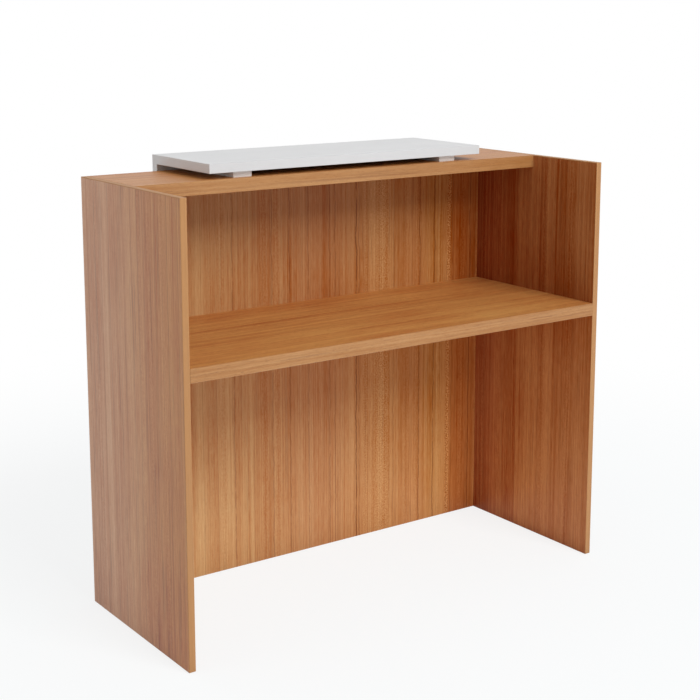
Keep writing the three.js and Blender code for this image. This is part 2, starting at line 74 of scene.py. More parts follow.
class Grain(Enum):
    """How a board's grain lies, as the turn in degrees that stands it along the pattern's Z."""

    UPRIGHT_ACROSS_WIDTH = (0, 0, 0)
    UPRIGHT_ACROSS_DEPTH = (0, 0, -90)
    LENGTHWISE_LEVEL = (-90, -90, 0)
    LENGTHWISE_EDGE = (0, 90, 0)
    FRONT_TO_BACK = (90, 0, 0)


class Slot(Enum):
    """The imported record's material slots of the modelled pieces."""

    WOOD_EDGE = "wood_edge"
    WHITE_EDGE = "white_edge"
    BEECH = "beech"
    ZINC = "zinc"
    STEEL = "steel"
    NYLON = "nylon"


class Wiring:
    """Adds and links the nodes of one shader tree."""

    def __init__(self, tree: bpy.types.NodeTree) -> None:
        """Start work on a tree."""
        self.tree = tree

    def add(
        self, kind: str, inputs: dict[str | int, Feed] | None = None, **settings: object
    ) -> bpy.types.Node:
        """Add one node.

        Args:
            kind: Blender's type name of the node.
            inputs: What goes into its sockets: another node's socket, or a plain value.
            settings: The node's own properties.

        Returns:
            The new node.
        """
        node = self.tree.nodes.new(kind)
        for name, value in settings.items():
            setattr(node, name, value)
        for name, value in (inputs or {}).items():
            self.feed(node.inputs[name], value)
        return node

    def feed(self, socket: Socket, value: Feed) -> None:
        """Link a socket to another one, or set its plain value.

        Args:
            socket: The socket to feed.
            value: A socket to link from, or a value.
        """
        if isinstance(value, Socket):
            self.tree.links.new(value, socket)
        else:
            socket.default_value = value

    def maths(self, operation: str, *terms: Feed) -> Socket:
        """Join values by one operation, from the first on.

        Args:
            operation: Blender's name of the operation, such as SUBTRACT.
            terms: One value or socket, or several.

        Returns:
            The result's socket.
        """
        result = terms[0]
        for term in terms[1:] or (0.0,):
            result = self.add("ShaderNodeMath", {0: result, 1: term}, operation=operation).outputs[0]
        return result

    def total(self, *terms: Feed) -> Socket:
        """Add values up."""
        return self.maths("ADD", *terms)

    def product(self, *terms: Feed) -> Socket:
        """Multiply values."""
        return self.maths("MULTIPLY", *terms)

    def largest(self, *terms: Feed) -> Socket:
        """Keep the largest of several values."""
        return self.maths("MAXIMUM", *terms)

    def distance(self, value: Socket, place: float) -> Socket:
        """Measure how far a value lies from a place, to either side."""
        return self.maths("ABSOLUTE", self.maths("SUBTRACT", value, place))

    def sway(self, value: Socket, amount: float) -> Socket:
        """Turn a value that lies about one half into a swing about nought."""
        return self.product(self.maths("SUBTRACT", value, 0.5), amount)

    def step(self, value: Socket, start: float, end: float) -> Socket:
        """Rise softly from nought at a start to one at an end, which may lie below the start."""
        limits = {"Value": value, "From Min": start, "From Max": end}
        return self.add("ShaderNodeMapRange", limits, interpolation_type="SMOOTHSTEP").outputs[0]

    def shifted(self, vector: Socket, shift: Feed) -> Socket:
        """Move a vector by another one."""
        return self.add("ShaderNodeVectorMath", {0: vector, 1: shift}).outputs[0]

    def parts(self, vector: Socket) -> Sockets:
        """Take a vector apart into its three values."""
        return self.add("ShaderNodeSeparateXYZ", {0: vector}).outputs

    def blend(self, share: Feed, first: Feed, second: Feed) -> Socket:
        """Mix two colours.

        Args:
            share: How much of the second colour shows, which may go past one or below nought.
            first: The first colour or socket.
            second: The second colour or socket.

        Returns:
            The mixed colour's socket.
        """
        mix = self.add("ShaderNodeMix", {"Factor": share}, data_type="RGBA", clamp_factor=False)
        colour_sockets = [socket for socket in mix.inputs if socket.type == "RGBA"]
        for socket, colour in zip(colour_sockets, (first, second)):
            self.feed(socket, colour)
        return next(socket for socket in mix.outputs if socket.type == "RGBA")

    def mix(self, share: Feed, first: Socket, second: Socket) -> Socket:
        """Mix two shaders."""
        return self.add("ShaderNodeMixShader", {0: share, 1: first, 2: second}).outputs[0]


def afresh(owner: bpy.types.Material | bpy.types.World) -> Wiring:
    """Give a material or a world an empty shader tree.

    Args:
        owner: The material or the world.

    Returns:
        The tree, ready to be wired.
    """
    owner.use_nodes = True
    owner.node_tree.nodes.clear()
    return Wiring(owner.node_tree)


@dataclass(frozen=True)
class Mottle:
    """Soft noise.

    Attributes:
        waves: Waves a metre along each axis.
        detail: How many finer layers it has.
        roughness: How strong the finer layers are.
        rise: Between which values it rises from nought to one, where it is used as a mask.
        swing: How far it sways what it is added to.
    """

    waves: Place
    detail: float = 2.0
    roughness: float = 0.5
    rise: Span | None = None
    swing: float = 1.0

    def read(self, wiring: Wiring, vector: Socket) -> Socket:
        """Read the noise.

        Args:
            wiring: The tree that reads it.
            vector: Where it is read.

        Returns:
            A value about one half, or a soft mask from nought to one where the noise has a rise.
        """
        drawn = wiring.add("ShaderNodeVectorMath", {0: vector, 1: self.waves}, operation="MULTIPLY")
        layers = {"Scale": 1.0, "Detail": self.detail, "Roughness": self.roughness}
        noise = wiring.add("ShaderNodeTexNoise", {"Vector": drawn.outputs[0], **layers}).outputs[0]
        return wiring.step(noise, *self.rise) if self.rise else noise

    def sway(self, wiring: Wiring, vector: Socket) -> Socket:
        """Read the noise as a swing about nought."""
        return wiring.sway(self.read(wiring, vector), self.swing)


class EffectGroup:
    """A shader node group that several finishes share, built at its first use."""

    name = "effect"
    vectors_in: tuple[str, ...] = ("Vector",)
    values_in: tuple[str, ...] = ()
    values_out: tuple[str, ...] = ()

    def tree(self) -> bpy.types.NodeTree:
        """Give the group's node tree.

        Returns:
            The node tree.
        """
        known = bpy.data.node_groups.get(self.name)
        if known:
            return known
        tree = bpy.data.node_groups.new(self.name, "ShaderNodeTree")
        for names, way, kind in (
            (self.vectors_in, "INPUT", "NodeSocketVector"),
            (self.values_in, "INPUT", "NodeSocketFloat"),
            (self.values_out, "OUTPUT", "NodeSocketFloat"),
        ):
            for name in names:
                tree.interface.new_socket(name=name, in_out=way, socket_type=kind)
        wiring = Wiring(tree)
        entry = wiring.add("NodeGroupInput")
        wiring.add("NodeGroupOutput", self.fill(wiring, entry.outputs))
        return tree

    def fill(self, wiring: Wiring, given: Sockets) -> dict[str, Socket]:
        """Make the group's nodes.

        Args:
            wiring: The group's tree.
            given: The group's input sockets.

        Returns:
            What goes to each output, by its name.
        """
        raise NotImplementedError

    def place(self, wiring: Wiring, inputs: dict[str, Feed]) -> Sockets:
        """Put the group into a material with its inputs, and give its output sockets."""
        return wiring.add("ShaderNodeGroup", inputs, node_tree=self.tree()).outputs


class WoodFigure(EffectGroup):
    """Straight grain along the pattern's Z: leaves, streaks, thin lines, dashes, flecks and pores."""

    name = "wood_figure"
    values_in = ("Leaves",)
    values_out = ("Hue", "Line", "Dash", "Pore", "Fibre", "Fleck")

    waver = Mottle((2.5, 2.5, 1.3), swing=0.012)
    mean_hue = -0.03
    leaf_softness = 0.1
    leaf_swing = 0.25
    leaf_shade_swing = 0.1
    broad = Mottle((26, 26, 0.4), 5.0, 0.62, (0.36, 0.64), swing=0.28)
    ribbon = Mottle((95, 95, 0.5), 3.0, 0.6, swing=1.1)
    streak = Mottle((250, 250, 1.2), 4.0, 0.7, swing=1.7)
    fibre = Mottle((420, 420, 26), 3.0, swing=1.1)
    zone = Mottle((5, 5, 2.6), 1.0, swing=0.8)
    patch = Mottle((19, 19, 3.1), 3.0, rise=(0.54, 0.74))
    patch_depth = 0.2
    seam_reach = 0.03
    seam_gap = Mottle((60, 60, 4), 3.0, rise=(0.34, 0.52))
    contour = Mottle((75, 75, 0.55), 2.0, 0.4)
    contour_reach = 0.045
    contour_gap = Mottle((45, 45, 4), rise=(0.42, 0.62))
    contour_strength = 0.75
    stroke = Mottle((300, 300, 7), 1.0, rise=(0.6, 0.74))
    stroke_cluster = Mottle((14, 14, 1.6), rise=(0.4, 0.66))
    column_reach = (0.34, 0.1)
    column_choice = (0.5, 0.66)
    column_fleck = Mottle((230, 230, 120), swing=0.9)
    fleck = Mottle((270, 270, 230))
    pore = Mottle((1500, 1500, 75), 1.0, rise=(0.6, 0.72))

    def fill(self, wiring: Wiring, given: Sockets) -> dict[str, Socket]:
        """Make the group's nodes.

        Args:
            wiring: The group's tree.
            given: The group's input sockets.

        Returns:
            What goes to each output, by its name.
        """
        drift = wiring.add("ShaderNodeCombineXYZ", {"X": self.waver.sway(wiring, given["Vector"])})
        grain = wiring.shifted(given["Vector"], drift.outputs[0])

        cells = {"W": wiring.parts(grain)["X"], "Scale": given["Leaves"]}
        leaf, seam = (
            wiring.add("ShaderNodeTexVoronoi", cells, voronoi_dimensions="1D", feature=feature)
            for feature in ("SMOOTH_F1", "DISTANCE_TO_EDGE")
        )
        leaf.inputs["Smoothness"].default_value = self.leaf_softness
        tone, shade, choice = wiring.add("ShaderNodeSeparateColor", {0: leaf.outputs["Color"]}).outputs

        line = wiring.product(
            wiring.step(seam.outputs["Distance"], self.seam_reach, 0.0),
            self.seam_gap.read(wiring, grain),
        )
        thread = wiring.product(
            wiring.step(wiring.distance(self.contour.read(wiring, grain), 0.5), self.contour_reach, 0.0),
            self.contour_gap.read(wiring, grain),
            self.contour_strength,
        )
        column = wiring.product(
            wiring.step(leaf.outputs["Distance"], *self.column_reach),
            wiring.step(choice, *self.column_choice),
        )
        dash = wiring.product(self.stroke.read(wiring, grain), self.stroke_cluster.read(wiring, grain))
        streak = self.streak.read(wiring, grain)
        hue = wiring.total(
            self.mean_hue,
            wiring.sway(tone, self.leaf_swing),
            wiring.sway(shade, self.leaf_shade_swing),
            wiring.sway(streak, self.streak.swing),
            *(mottle.sway(wiring, grain) for mottle in (self.broad, self.ribbon, self.fibre, self.zone)),
            wiring.product(self.patch.read(wiring, grain), self.patch_depth),
            wiring.product(self.column_fleck.sway(wiring, grain), column),
        )
        return {
            "Hue": hue,
            "Line": wiring.largest(line, thread),
            "Dash": dash,
            "Pore": self.pore.read(wiring, grain),
            "Fibre": streak,
            "Fleck": self.fleck.sway(wiring, grain),
        }


class ArrisWear(EffectGroup):
    """Where an edge is rounded, and so rubbed."""

    name = "arris_wear"
    vectors_in = ("Normal", "Vector")
    values_out = ("Mask",)

    flat_to_round = (0.97, 0.78)
    rubbing = Mottle((14, 14, 14), 4.0, 0.6, (0.38, 0.62))

    def fill(self, wiring: Wiring, given: Sockets) -> dict[str, Socket]:
        """Make the group's nodes.

        Args:
            wiring: The group's tree.
            given: The group's input sockets.

        Returns:
            What goes to each output, by its name.
        """
        facing = wiring.add("ShaderNodeVectorMath", {0: given["Normal"]}, operation="ABSOLUTE").outputs[0]
        rounded = wiring.step(wiring.largest(*wiring.parts(facing)), *self.flat_to_round)
        return {"Mask": wiring.product(rounded, self.rubbing.read(wiring, given["Vector"]))}


class FineSpeckle(EffectGroup):
    """The pebbled skin of a melamine, nylon or metal surface, and slow changes of tone over it."""

    name = "fine_speckle"
    values_out = ("Pebble", "Cloud", "Scuff")

    pebble = Mottle((1100, 1100, 1100))
    cloud = Mottle((5, 5, 5), 4.0, 0.6)
    scuff = Mottle((90, 14, 90), 5.0, 0.7, (0.58, 0.75))

    def fill(self, wiring: Wiring, given: Sockets) -> dict[str, Socket]:
        """Make the group's nodes, one for each output."""
        mottles = zip(self.values_out, (self.pebble, self.cloud, self.scuff))
        return {name: mottle.read(wiring, given["Vector"]) for name, mottle in mottles}


FIGURE = WoodFigure()
WEAR = ArrisWear()
SPECKLE = FineSpeckle()


class Finish:
    """A procedural material, made at its first use."""

    name: str

    def material(self) -> bpy.types.Material:
        """Give the finish's material.

        Returns:
            The material.
        """
        known = bpy.data.materials.get(self.name)
        if known:
            return known
        made = bpy.data.materials.new(self.name)
        wiring = afresh(made)
        surface = wiring.add("ShaderNodeBsdfPrincipled")
        wiring.add("ShaderNodeOutputMaterial", {"Surface": surface.outputs[0]})
        self.wire(wiring, surface.inputs)
        return made

    def wire(self, wiring: Wiring, surface: Sockets) -> None:
        """Feed the surface shader.

        Args:
            wiring: The material's tree.
            surface: The sockets of its Principled shader.
        """
        raise NotImplementedError

    def emboss(self, wiring: Wiring, surface: Sockets, height: Socket, depth: float) -> None:
        """Raise a fine relief on the surface, as deep as given in metres where its height is one."""
        relief = wiring.add("ShaderNodeBump", {"Height": height, "Strength": 1.0, "Distance": depth})
        wiring.feed(surface["Normal"], relief.outputs[0])


@dataclass(frozen=True)
class Hues:
    """The light and the dark leaf colour at one place across a board."""

    light: Colour
    dark: Colour


@dataclass(frozen=True)
class Stripe:
    """A stripe along the grain: its place across the board, its strength and its reach to each side."""

    place: float
    strength: float
    reach: float = 0.0034


@dataclass(frozen=True)
class WoodFinish(Finish):
    """Wood-look laminate with straight grain, whose hues drift across the board and along it; along the
    grain the drift is painted light and shade on the end panels and the front panel, and a drift of tone
    on the shelf edge.
    """

    name: str
    grain: Grain
    shift: Place
    hues: tuple[tuple[float, Hues], ...]
    leaves: float = 19.0
    contrast: float = 1.0
    line_strength: float = 0.6
    dash_strength: float = 0.4
    line_colour: Colour = srgb(98, 46, 22)
    roughness: float = 0.36
    specular: float = 0.4
    # Deepens the hue along the grain: painted shade on the end panels and the front panel, a drift of tone
    # on the shelf edge
    shade_and_tone_deepening: float = 0.0
    shade_and_tone_reach: Span = (0.08, 0.42)
    seams: tuple[Stripe, ...] = ()
    seam_waver: Mottle = Mottle((0.5, 0.5, 9), 4.0, 0.7, swing=0.016)
    seam_gap: Mottle = Mottle((30, 30, 22), 3.0, 0.6, (0.25, 0.5))
    fleck_columns: tuple[Stripe, ...] = ()
    depth_limits: Span = (-0.5, 1.5)
    pore_strength: float = 0.22
    rub_strength: float = 0.3
    fibre_gloss: float = 0.16
    pore_gloss: float = 0.12
    rub_gloss: float = -0.06
    fibre_relief: float = 0.4
    relief: float = 0.00008

    def leaf_colours(self, wiring: Wiring, across: Socket) -> tuple[Feed, Feed]:
        """Let the leaf colours drift across the board.

        Args:
            wiring: The material's tree.
            across: The place across the board.

        Returns:
            The light colour and the dark one.
        """
        start, first = self.hues[0]
        light: Feed = first.light
        dark: Feed = first.dark
        for stop, hues in self.hues[1:]:
            share = wiring.step(across, start, stop)
            light = wiring.blend(share, light, hues.light)
            dark = wiring.blend(share, dark, hues.dark)
            start = stop
        return light, dark

    def stripe_mask(self, wiring: Wiring, across: Socket, stripes: tuple[Stripe, ...]) -> Socket:
        """Mark stripes along the grain.

        Args:
            wiring: The material's tree.
            across: The place across the board.
            stripes: The stripes.

        Returns:
            A mask that is as strong as each stripe.
        """
        masks = []
        for stripe in stripes:
            within = wiring.step(wiring.distance(across, stripe.place), stripe.reach, 0.0)
            masks.append(wiring.product(within, stripe.strength))
        return wiring.largest(*masks)

    def wire(self, wiring: Wiring, surface: Sockets) -> None:
        """Feed the surface shader.

        Args:
            wiring: The material's tree.
            surface: The sockets of its Principled shader.
        """
        place = wiring.add("ShaderNodeTexCoord").outputs
        turn = tuple(math.radians(angle) for angle in self.grain.value)
        lying = wiring.add("ShaderNodeMapping", {"Vector": place["Object"], "Rotation": turn}).outputs[0]
        across, _, along = wiring.parts(lying)
        figure = FIGURE.place(wiring, {"Vector": wiring.shifted(lying, self.shift), "Leaves": self.leaves})
        worn = WEAR.place(wiring, {"Normal": place["Normal"], "Vector": place["Object"]})["Mask"]

        light, dark = self.leaf_colours(wiring, across)
        depth = wiring.total(wiring.product(figure["Hue"], self.contrast), 0.5)
        # Hue deepened along the grain: painted shade on some boards
        if self.shade_and_tone_deepening:
            further = wiring.step(along, *self.shade_and_tone_reach)
            depth = wiring.total(depth, wiring.product(further, self.shade_and_tone_deepening))
        if self.fleck_columns:
            columns = self.stripe_mask(wiring, across, self.fleck_columns)
            depth = wiring.total(depth, wiring.product(figure["Fleck"], columns))
        palest, deepest = self.depth_limits
        depth = wiring.largest(wiring.maths("MINIMUM", depth, deepest), palest)

        marks = wiring.largest(
            wiring.product(figure["Line"], self.line_strength),
            wiring.product(figure["Dash"], self.dash_strength),
        )
        if self.seams:
            wavering = wiring.total(across, self.seam_waver.sway(wiring, lying))
            seams = self.stripe_mask(wiring, wavering, self.seams)
            marks = wiring.largest(marks, wiring.product(seams, self.seam_gap.read(wiring, lying)))
        lined = wiring.blend(marks, wiring.blend(depth, light, dark), self.line_colour)
        pores = wiring.product(figure["Pore"], self.pore_strength * self.contrast)
        pored = wiring.blend(pores, lined, self.line_colour)
        rubbed = wiring.blend(wiring.product(worn, self.rub_strength), pored, light)
        wiring.feed(surface["Base Color"], rubbed)

        gloss = wiring.total(
            self.roughness,
            wiring.sway(figure["Fibre"], self.fibre_gloss),
            wiring.product(figure["Pore"], self.pore_gloss),
            wiring.product(worn, self.rub_gloss),
        )
        wiring.feed(surface["Roughness"], gloss)
        surface["Specular IOR Level"].default_value = self.specular
        fibres = wiring.product(figure["Fibre"], self.fibre_relief)
        self.emboss(wiring, surface, wiring.maths("SUBTRACT", fibres, figure["Pore"]), self.relief)


@dataclass(frozen=True)
class SkinFinish(Finish):
    """Melamine or nylon: one colour with a pebbled skin, slow clouds of tone and faint scuffs."""

    name: str
    colour: Colour
    shadow: Colour
    roughness: float = 0.36
    relief: float = 0.00002
    shadow_share: float = 0.35
    pebble_swing: float = 0.35
    cloud_swing: float = 0.5
    cloud_gloss: float = 0.12
    scuff_gloss: float = 0.07
    rub_gloss: float = -0.05

    def wire(self, wiring: Wiring, surface: Sockets) -> None:
        """Feed the surface shader.

        Args:
            wiring: The material's tree.
            surface: The sockets of its Principled shader.
        """
        place = wiring.add("ShaderNodeTexCoord").outputs
        skin = SPECKLE.place(wiring, {"Vector": place["Object"]})
        worn = WEAR.place(wiring, {"Normal": place["Normal"], "Vector": place["Object"]})["Mask"]
        clouds = wiring.total(
            wiring.sway(skin["Pebble"], self.pebble_swing),
            wiring.sway(skin["Cloud"], self.cloud_swing),
            self.shadow_share,
        )
        wiring.feed(surface["Base Color"], wiring.blend(clouds, self.colour, self.shadow))
        gloss = wiring.total(
            self.roughness,
            wiring.sway(skin["Cloud"], self.cloud_gloss),
            wiring.product(skin["Scuff"], self.scuff_gloss),
            wiring.product(worn, self.rub_gloss),
        )
        wiring.feed(surface["Roughness"], gloss)
        self.emboss(wiring, surface, skin["Pebble"], self.relief)


@dataclass(frozen=True)
class MetalFinish(Finish):
    """Cast or drawn metal with a fine grain and dull patches."""

    name: str
    bright: Colour
    dull: Colour
    roughness: float = 0.34
    relief: float = 0.00002
    patches: Mottle = Mottle((420, 420, 420), 4.0, 0.6, (0.4, 0.66))
    patch_gloss: float = 0.14
    pebble_gloss: float = 0.1

    def wire(self, wiring: Wiring, surface: Sockets) -> None:
        """Feed the surface shader.

        Args:
            wiring: The material's tree.
            surface: The sockets of its Principled shader.
        """
        place = wiring.add("ShaderNodeTexCoord").outputs["Object"]
        pebble = SPECKLE.place(wiring, {"Vector": place})["Pebble"]
        patches = self.patches.read(wiring, place)
        wiring.feed(surface["Base Color"], wiring.blend(patches, self.bright, self.dull))
        surface["Metallic"].default_value = 1.0
        gloss = wiring.total(
            self.roughness,
            wiring.product(patches, self.patch_gloss),
            wiring.sway(pebble, self.pebble_gloss),
        )
        wiring.feed(surface["Roughness"], gloss)
        self.emboss(wiring, surface, pebble, self.relief)


# Leaf colours of the wood as they look in even light
PALE_LEAVES = Hues(srgb(203, 155, 120), srgb(182, 120, 82))
TAN_LEAVES = Hues(srgb(191, 131, 75), srgb(165, 89, 40))
CHESTNUT_LEAVES = Hues(srgb(184, 124, 77), srgb(160, 93, 47))
RUSSET_LEAVES = Hues(srgb(187, 126, 75), srgb(157, 87, 44))
DEEP_LEAVES = Hues(srgb(181, 114, 69), srgb(152, 78, 41))
SAND_LEAVES = Hues(srgb(200, 160, 111), srgb(180, 126, 79))
ROSE_LEAVES = Hues(srgb(193, 145, 100), srgb(171, 109, 63))
AMBER_LEAVES = Hues(srgb(200, 152, 100), srgb(175, 113, 60))
COPPER_LEAVES = Hues(srgb(195, 141, 90), srgb(170, 105, 54))
STRAW_LEAVES = Hues(srgb(204, 155, 98), srgb(176, 114, 57))
RUST_LEAVES = Hues(srgb(200, 134, 78), srgb(170, 96, 44))
WORKTOP_LEAVES = Hues(srgb(204, 143, 79), srgb(183, 112, 57))
SHELF_LEAVES = Hues(srgb(197, 139, 81), srgb(179, 112, 59))
EDGE_LEAVES = Hues(srgb(186, 137, 88), srgb(171, 121, 73))
LEVEL_EDGE_LEAVES = Hues(srgb(181, 133, 85), srgb(169, 118, 70))
SHELF_EDGE_LEAVES = Hues(srgb(184, 136, 87), srgb(172, 121, 72))
BEECH_LEAVES = Hues(srgb(214, 178, 132), srgb(196, 152, 104))

# The front panel's dark seams: the place across it and the strength of each
FRONT_PANEL_SEAMS = {
    -0.237: 0.4, -0.107: 0.4, -0.047: 0.45, 0.018: 0.35, 0.093: 0.4, 0.113: 0.4, 0.19: 0.8,
    0.2: 0.4, 0.33: 0.3, 0.43: 0.55, 0.487: 0.6, 0.56: 0.35, 0.63: 0.55,
}

END_PANEL_WOODS = {
    "left": WoodFinish(
        "left_end_panel_wood", Grain.UPRIGHT_ACROSS_DEPTH, (14.064, -0.678, 0.0),
        ((-0.28, TAN_LEAVES), (0.22, PALE_LEAVES)),
        contrast=1.5, line_strength=0.5, dash_strength=0.3,
        # Paler above 0.28 m, so the panel's foot stays deeper: painted shade near the floor
        shade_and_tone_deepening=-0.22, shade_and_tone_reach=(0.04, 0.28),
    ),
    "right": WoodFinish(
        "right_end_panel_wood", Grain.UPRIGHT_ACROSS_DEPTH, (0.646, 0.66, 0.3),
        ((-0.28, CHESTNUT_LEAVES), (0.06, RUSSET_LEAVES), (0.16, DEEP_LEAVES)),
        contrast=1.55, line_strength=0.35, dash_strength=0.35, specular=0.15,
        # The hue deepens upwards from 0.2 m to 0.95 m: painted shade under the counter shelf, on both
        # faces of the panel
        shade_and_tone_deepening=0.3, shade_and_tone_reach=(0.2, 0.95),
    ),
}
FRONT_PANEL_WOOD = WoodFinish(
    "front_panel_wood", Grain.UPRIGHT_ACROSS_WIDTH, (10.869, -0.228, 0.3),
    (
        (-0.2, SAND_LEAVES), (0.04, ROSE_LEAVES), (0.31, AMBER_LEAVES),
        (0.41, COPPER_LEAVES), (0.49, STRAW_LEAVES), (0.59, RUST_LEAVES),
    ),
    # The hue deepens from 0.08 m up to 0.42 m: painted light from the floor on the panel's foot, painted
    # shade under the worktop above it
    contrast=1.25, line_strength=0.25, dash_strength=0.35, specular=0.15, shade_and_tone_deepening=0.25,
    seams=tuple(Stripe(place, strength) for place, strength in FRONT_PANEL_SEAMS.items()),
    fleck_columns=(Stripe(0.225, 2.0, 0.02), Stripe(0.285, 3.6, 0.045), Stripe(0.545, 9.0, 0.012)),
)
WORKTOP_WOOD = WoodFinish(
    "worktop_wood", Grain.LENGTHWISE_LEVEL, (0.13, 0.0, 0.4), ((0.0, WORKTOP_LEAVES),),
    contrast=1.9, line_strength=0.2, dash_strength=0.35, roughness=0.42, specular=0.45,
)
SHELF_WOOD = WoodFinish(
    "shelf_wood", Grain.LENGTHWISE_LEVEL, (0.57, 0.0, 0.1), ((0.0, SHELF_LEAVES),),
    contrast=1.2, line_strength=0.3, dash_strength=0.25, roughness=0.42, specular=0.22,
)
UPRIGHT_EDGE_WOOD = WoodFinish(
    "upright_edge_wood", Grain.UPRIGHT_ACROSS_WIDTH, (0.5, 0.0, 0.2), ((0.0, EDGE_LEAVES),),
    leaves=90.0, contrast=0.35, line_strength=0.2, dash_strength=0.1,
)
LEVEL_EDGE_WOOD = WoodFinish(
    "level_edge_wood", Grain.LENGTHWISE_EDGE, (0.2, 0.0, 0.7), ((0.0, LEVEL_EDGE_LEAVES),),
    leaves=70.0, contrast=1.8, line_strength=0.45, dash_strength=0.5,
)
SHELF_EDGE_WOOD = WoodFinish(
    "shelf_edge_wood", Grain.LENGTHWISE_EDGE, (0.2, 0.0, 0.7), ((0.0, SHELF_EDGE_LEAVES),),
    leaves=70.0, contrast=1.5, line_strength=0.35, dash_strength=0.35,
    shade_and_tone_deepening=0.75, shade_and_tone_reach=(0.1, -0.65),
)
TOP_EDGE_WOOD = WoodFinish(
    "top_edge_wood", Grain.FRONT_TO_BACK, (0.1, 0.0, 0.9), ((0.0, EDGE_LEAVES),),
    leaves=90.0, contrast=0.35, line_strength=0.2, dash_strength=0.1, roughness=0.5, specular=0.3,
)
BEECH_WOOD = WoodFinish(
    "beech_wood", Grain.LENGTHWISE_EDGE, (0.0, 0.0, 0.0), ((0.0, BEECH_LEAVES),),
    leaves=260.0, contrast=0.3, line_strength=0.2, dash_strength=0.2, roughness=0.66,
    line_colour=srgb(140, 96, 58),
)
WHITE_MELAMINE = SkinFinish("white_melamine", srgb(220, 220, 221), srgb(210, 211, 212))
# The board's white melamine painted lighter for the rails and battens: painted light against the shade
# under the counter board
RAIL_MELAMINE_PAINTED_LIGHT = SkinFinish("white_rail_melamine_painted_light", srgb(233, 232, 230), srgb(225, 224, 222))
# The board's white painted a little darker for the front and bottom bands: painted shade, so the lit front
# edge reads as bright as the top
WHITE_BAND_PAINTED_SHADE = SkinFinish("white_edge_band_painted_shade", srgb(211, 212, 213), srgb(202, 203, 204), roughness=0.4)
ZINC_ALLOY = MetalFinish("zinc_alloy", srgb(188, 189, 190), srgb(150, 151, 152))
STEEL_PLATED = MetalFinish("steel_plated", srgb(205, 207, 210), srgb(170, 172, 176), roughness=0.28)
BLACK_NYLON = SkinFinish("black_nylon", srgb(46, 45, 44), srgb(38, 37, 36), roughness=0.55, relief=0.00004)


class Heading(Enum):
    """The way that a board's edge faces."""

    LEFT = (-1, 0, 0)
    RIGHT = (1, 0, 0)
    CLERK = (0, -1, 0)
    VISITOR = (0, 1, 0)
    DOWN = (0, 0, -1)
    UP = (0, 0, 1)

    def vector(self) -> Vector:
        """Give the heading as a vector."""
        return Vector(self.value)


SIDES = {"left": Heading.LEFT, "right": Heading.RIGHT}
ROWS = {"front": Heading.CLERK, "back": Heading.VISITOR}
TIERS = ("worktop", "shelf")
LEVELS = ("lower", "upper")
QUARTER_TURN = math.pi / 2
UNTURNED = (0.0, 0.0, 0.0)
WHITE = (1.0, 1.0, 1.0, 1.0)
# A face counts as level when its normal has more of Z than this
LEVEL_NORMAL = 0.9
# Where the lowest and the highest corner stand in a bound box
LOWEST = 0
HIGHEST = 6


def dress(node: str, finish: Finish) -> None:
    """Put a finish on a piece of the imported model.

    Args:
        node: The piece's name.
        finish: The finish.
    """
    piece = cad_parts[node]
    for slot in piece.material_slots:
        slot.material = finish.material()
    LOG.info("%s keeps its solid, finished in %s", node, finish.name)


def select_only(piece: Piece) -> None:
    """Make one piece the only selected and the active one.

    Args:
        piece: The piece.
    """
    bpy.ops.object.select_all(action="DESELECT")
    piece.select_set(True)
    bpy.context.view_layer.objects.active = piece


def start_from(primitive: Callable[..., set[str]], **settings: object) -> Piece:
    """Add a primitive, with its place moved into its mesh.

    Args:
        primitive: The operator that adds it.
        settings: The operator's own properties.

    Returns:
        The new piece.
    """
    bpy.ops.object.select_all(action="DESELECT")
    primitive(**settings)
    piece = bpy.context.object
    select_only(piece)
    bpy.ops.object.transform_apply(location=True, rotation=True, scale=True)
    return piece


@contextmanager
def editing(piece: Piece) -> Iterator[None]:
    """Open a piece in edit mode with all of it selected, and close it again.

    Args:
        piece: The piece.
    """
    select_only(piece)
    bpy.ops.object.mode_set(mode="EDIT")
    bpy.ops.mesh.select_mode(type="EDGE")
    bpy.ops.mesh.select_all(action="SELECT")
    yield
    bpy.ops.object.mode_set(mode="OBJECT")


def pick_edges(piece: Piece, wanted: Callable[[Vector, Vector], bool]) -> None:
    """Select edges of a piece in edit mode.

    Args:
        piece: The piece.
        wanted: Tells from an edge's two ends whether it is picked.
    """
    bpy.ops.mesh.select_mode(type="EDGE")
    bpy.ops.mesh.select_all(action="DESELECT")
    mesh = bmesh.from_edit_mesh(piece.data)
    for edge in mesh.edges:
        if wanted(edge.verts[0].co, edge.verts[1].co):
            edge.select_set(True)
    bmesh.update_edit_mesh(piece.data)


def pick_faces(piece: Piece, wanted: Callable[[Vector], bool]) -> None:
    """Select faces of a piece in edit mode.

    Args:
        piece: The piece.
        wanted: Tells from a face's normal whether it is picked.
    """
    bpy.ops.mesh.select_mode(type="FACE")
    bpy.ops.mesh.select_all(action="DESELECT")
    mesh = bmesh.from_edit_mesh(piece.data)
    for face in mesh.faces:
        if wanted(face.normal):
            face.select_set(True)
    bmesh.update_edit_mesh(piece.data)


def round_over(radius: float, steps: int = 1) -> None:
    """Round over the picked edges of the piece in edit mode."""
    bpy.ops.mesh.bevel(offset=radius, segments=steps, affect="EDGES")


def face_outwards() -> None:
    """Turn all faces of the piece in edit mode outwards."""
    bpy.ops.mesh.select_all(action="SELECT")
    bpy.ops.mesh.normals_make_consistent(inside=False)


def modify(piece: Piece, kind: str, **settings: object) -> None:
    """Put a modifier on a piece and apply it.

    Args:
        piece: The piece.
        kind: Blender's type name of the modifier.
        settings: The modifier's properties.
    """
    select_only(piece)
    bpy.ops.object.modifier_add(type=kind)
    modifier = piece.modifiers[-1]
    for name, value in settings.items():
        setattr(modifier, name, value)
    bpy.ops.object.modifier_apply(modifier=modifier.name)


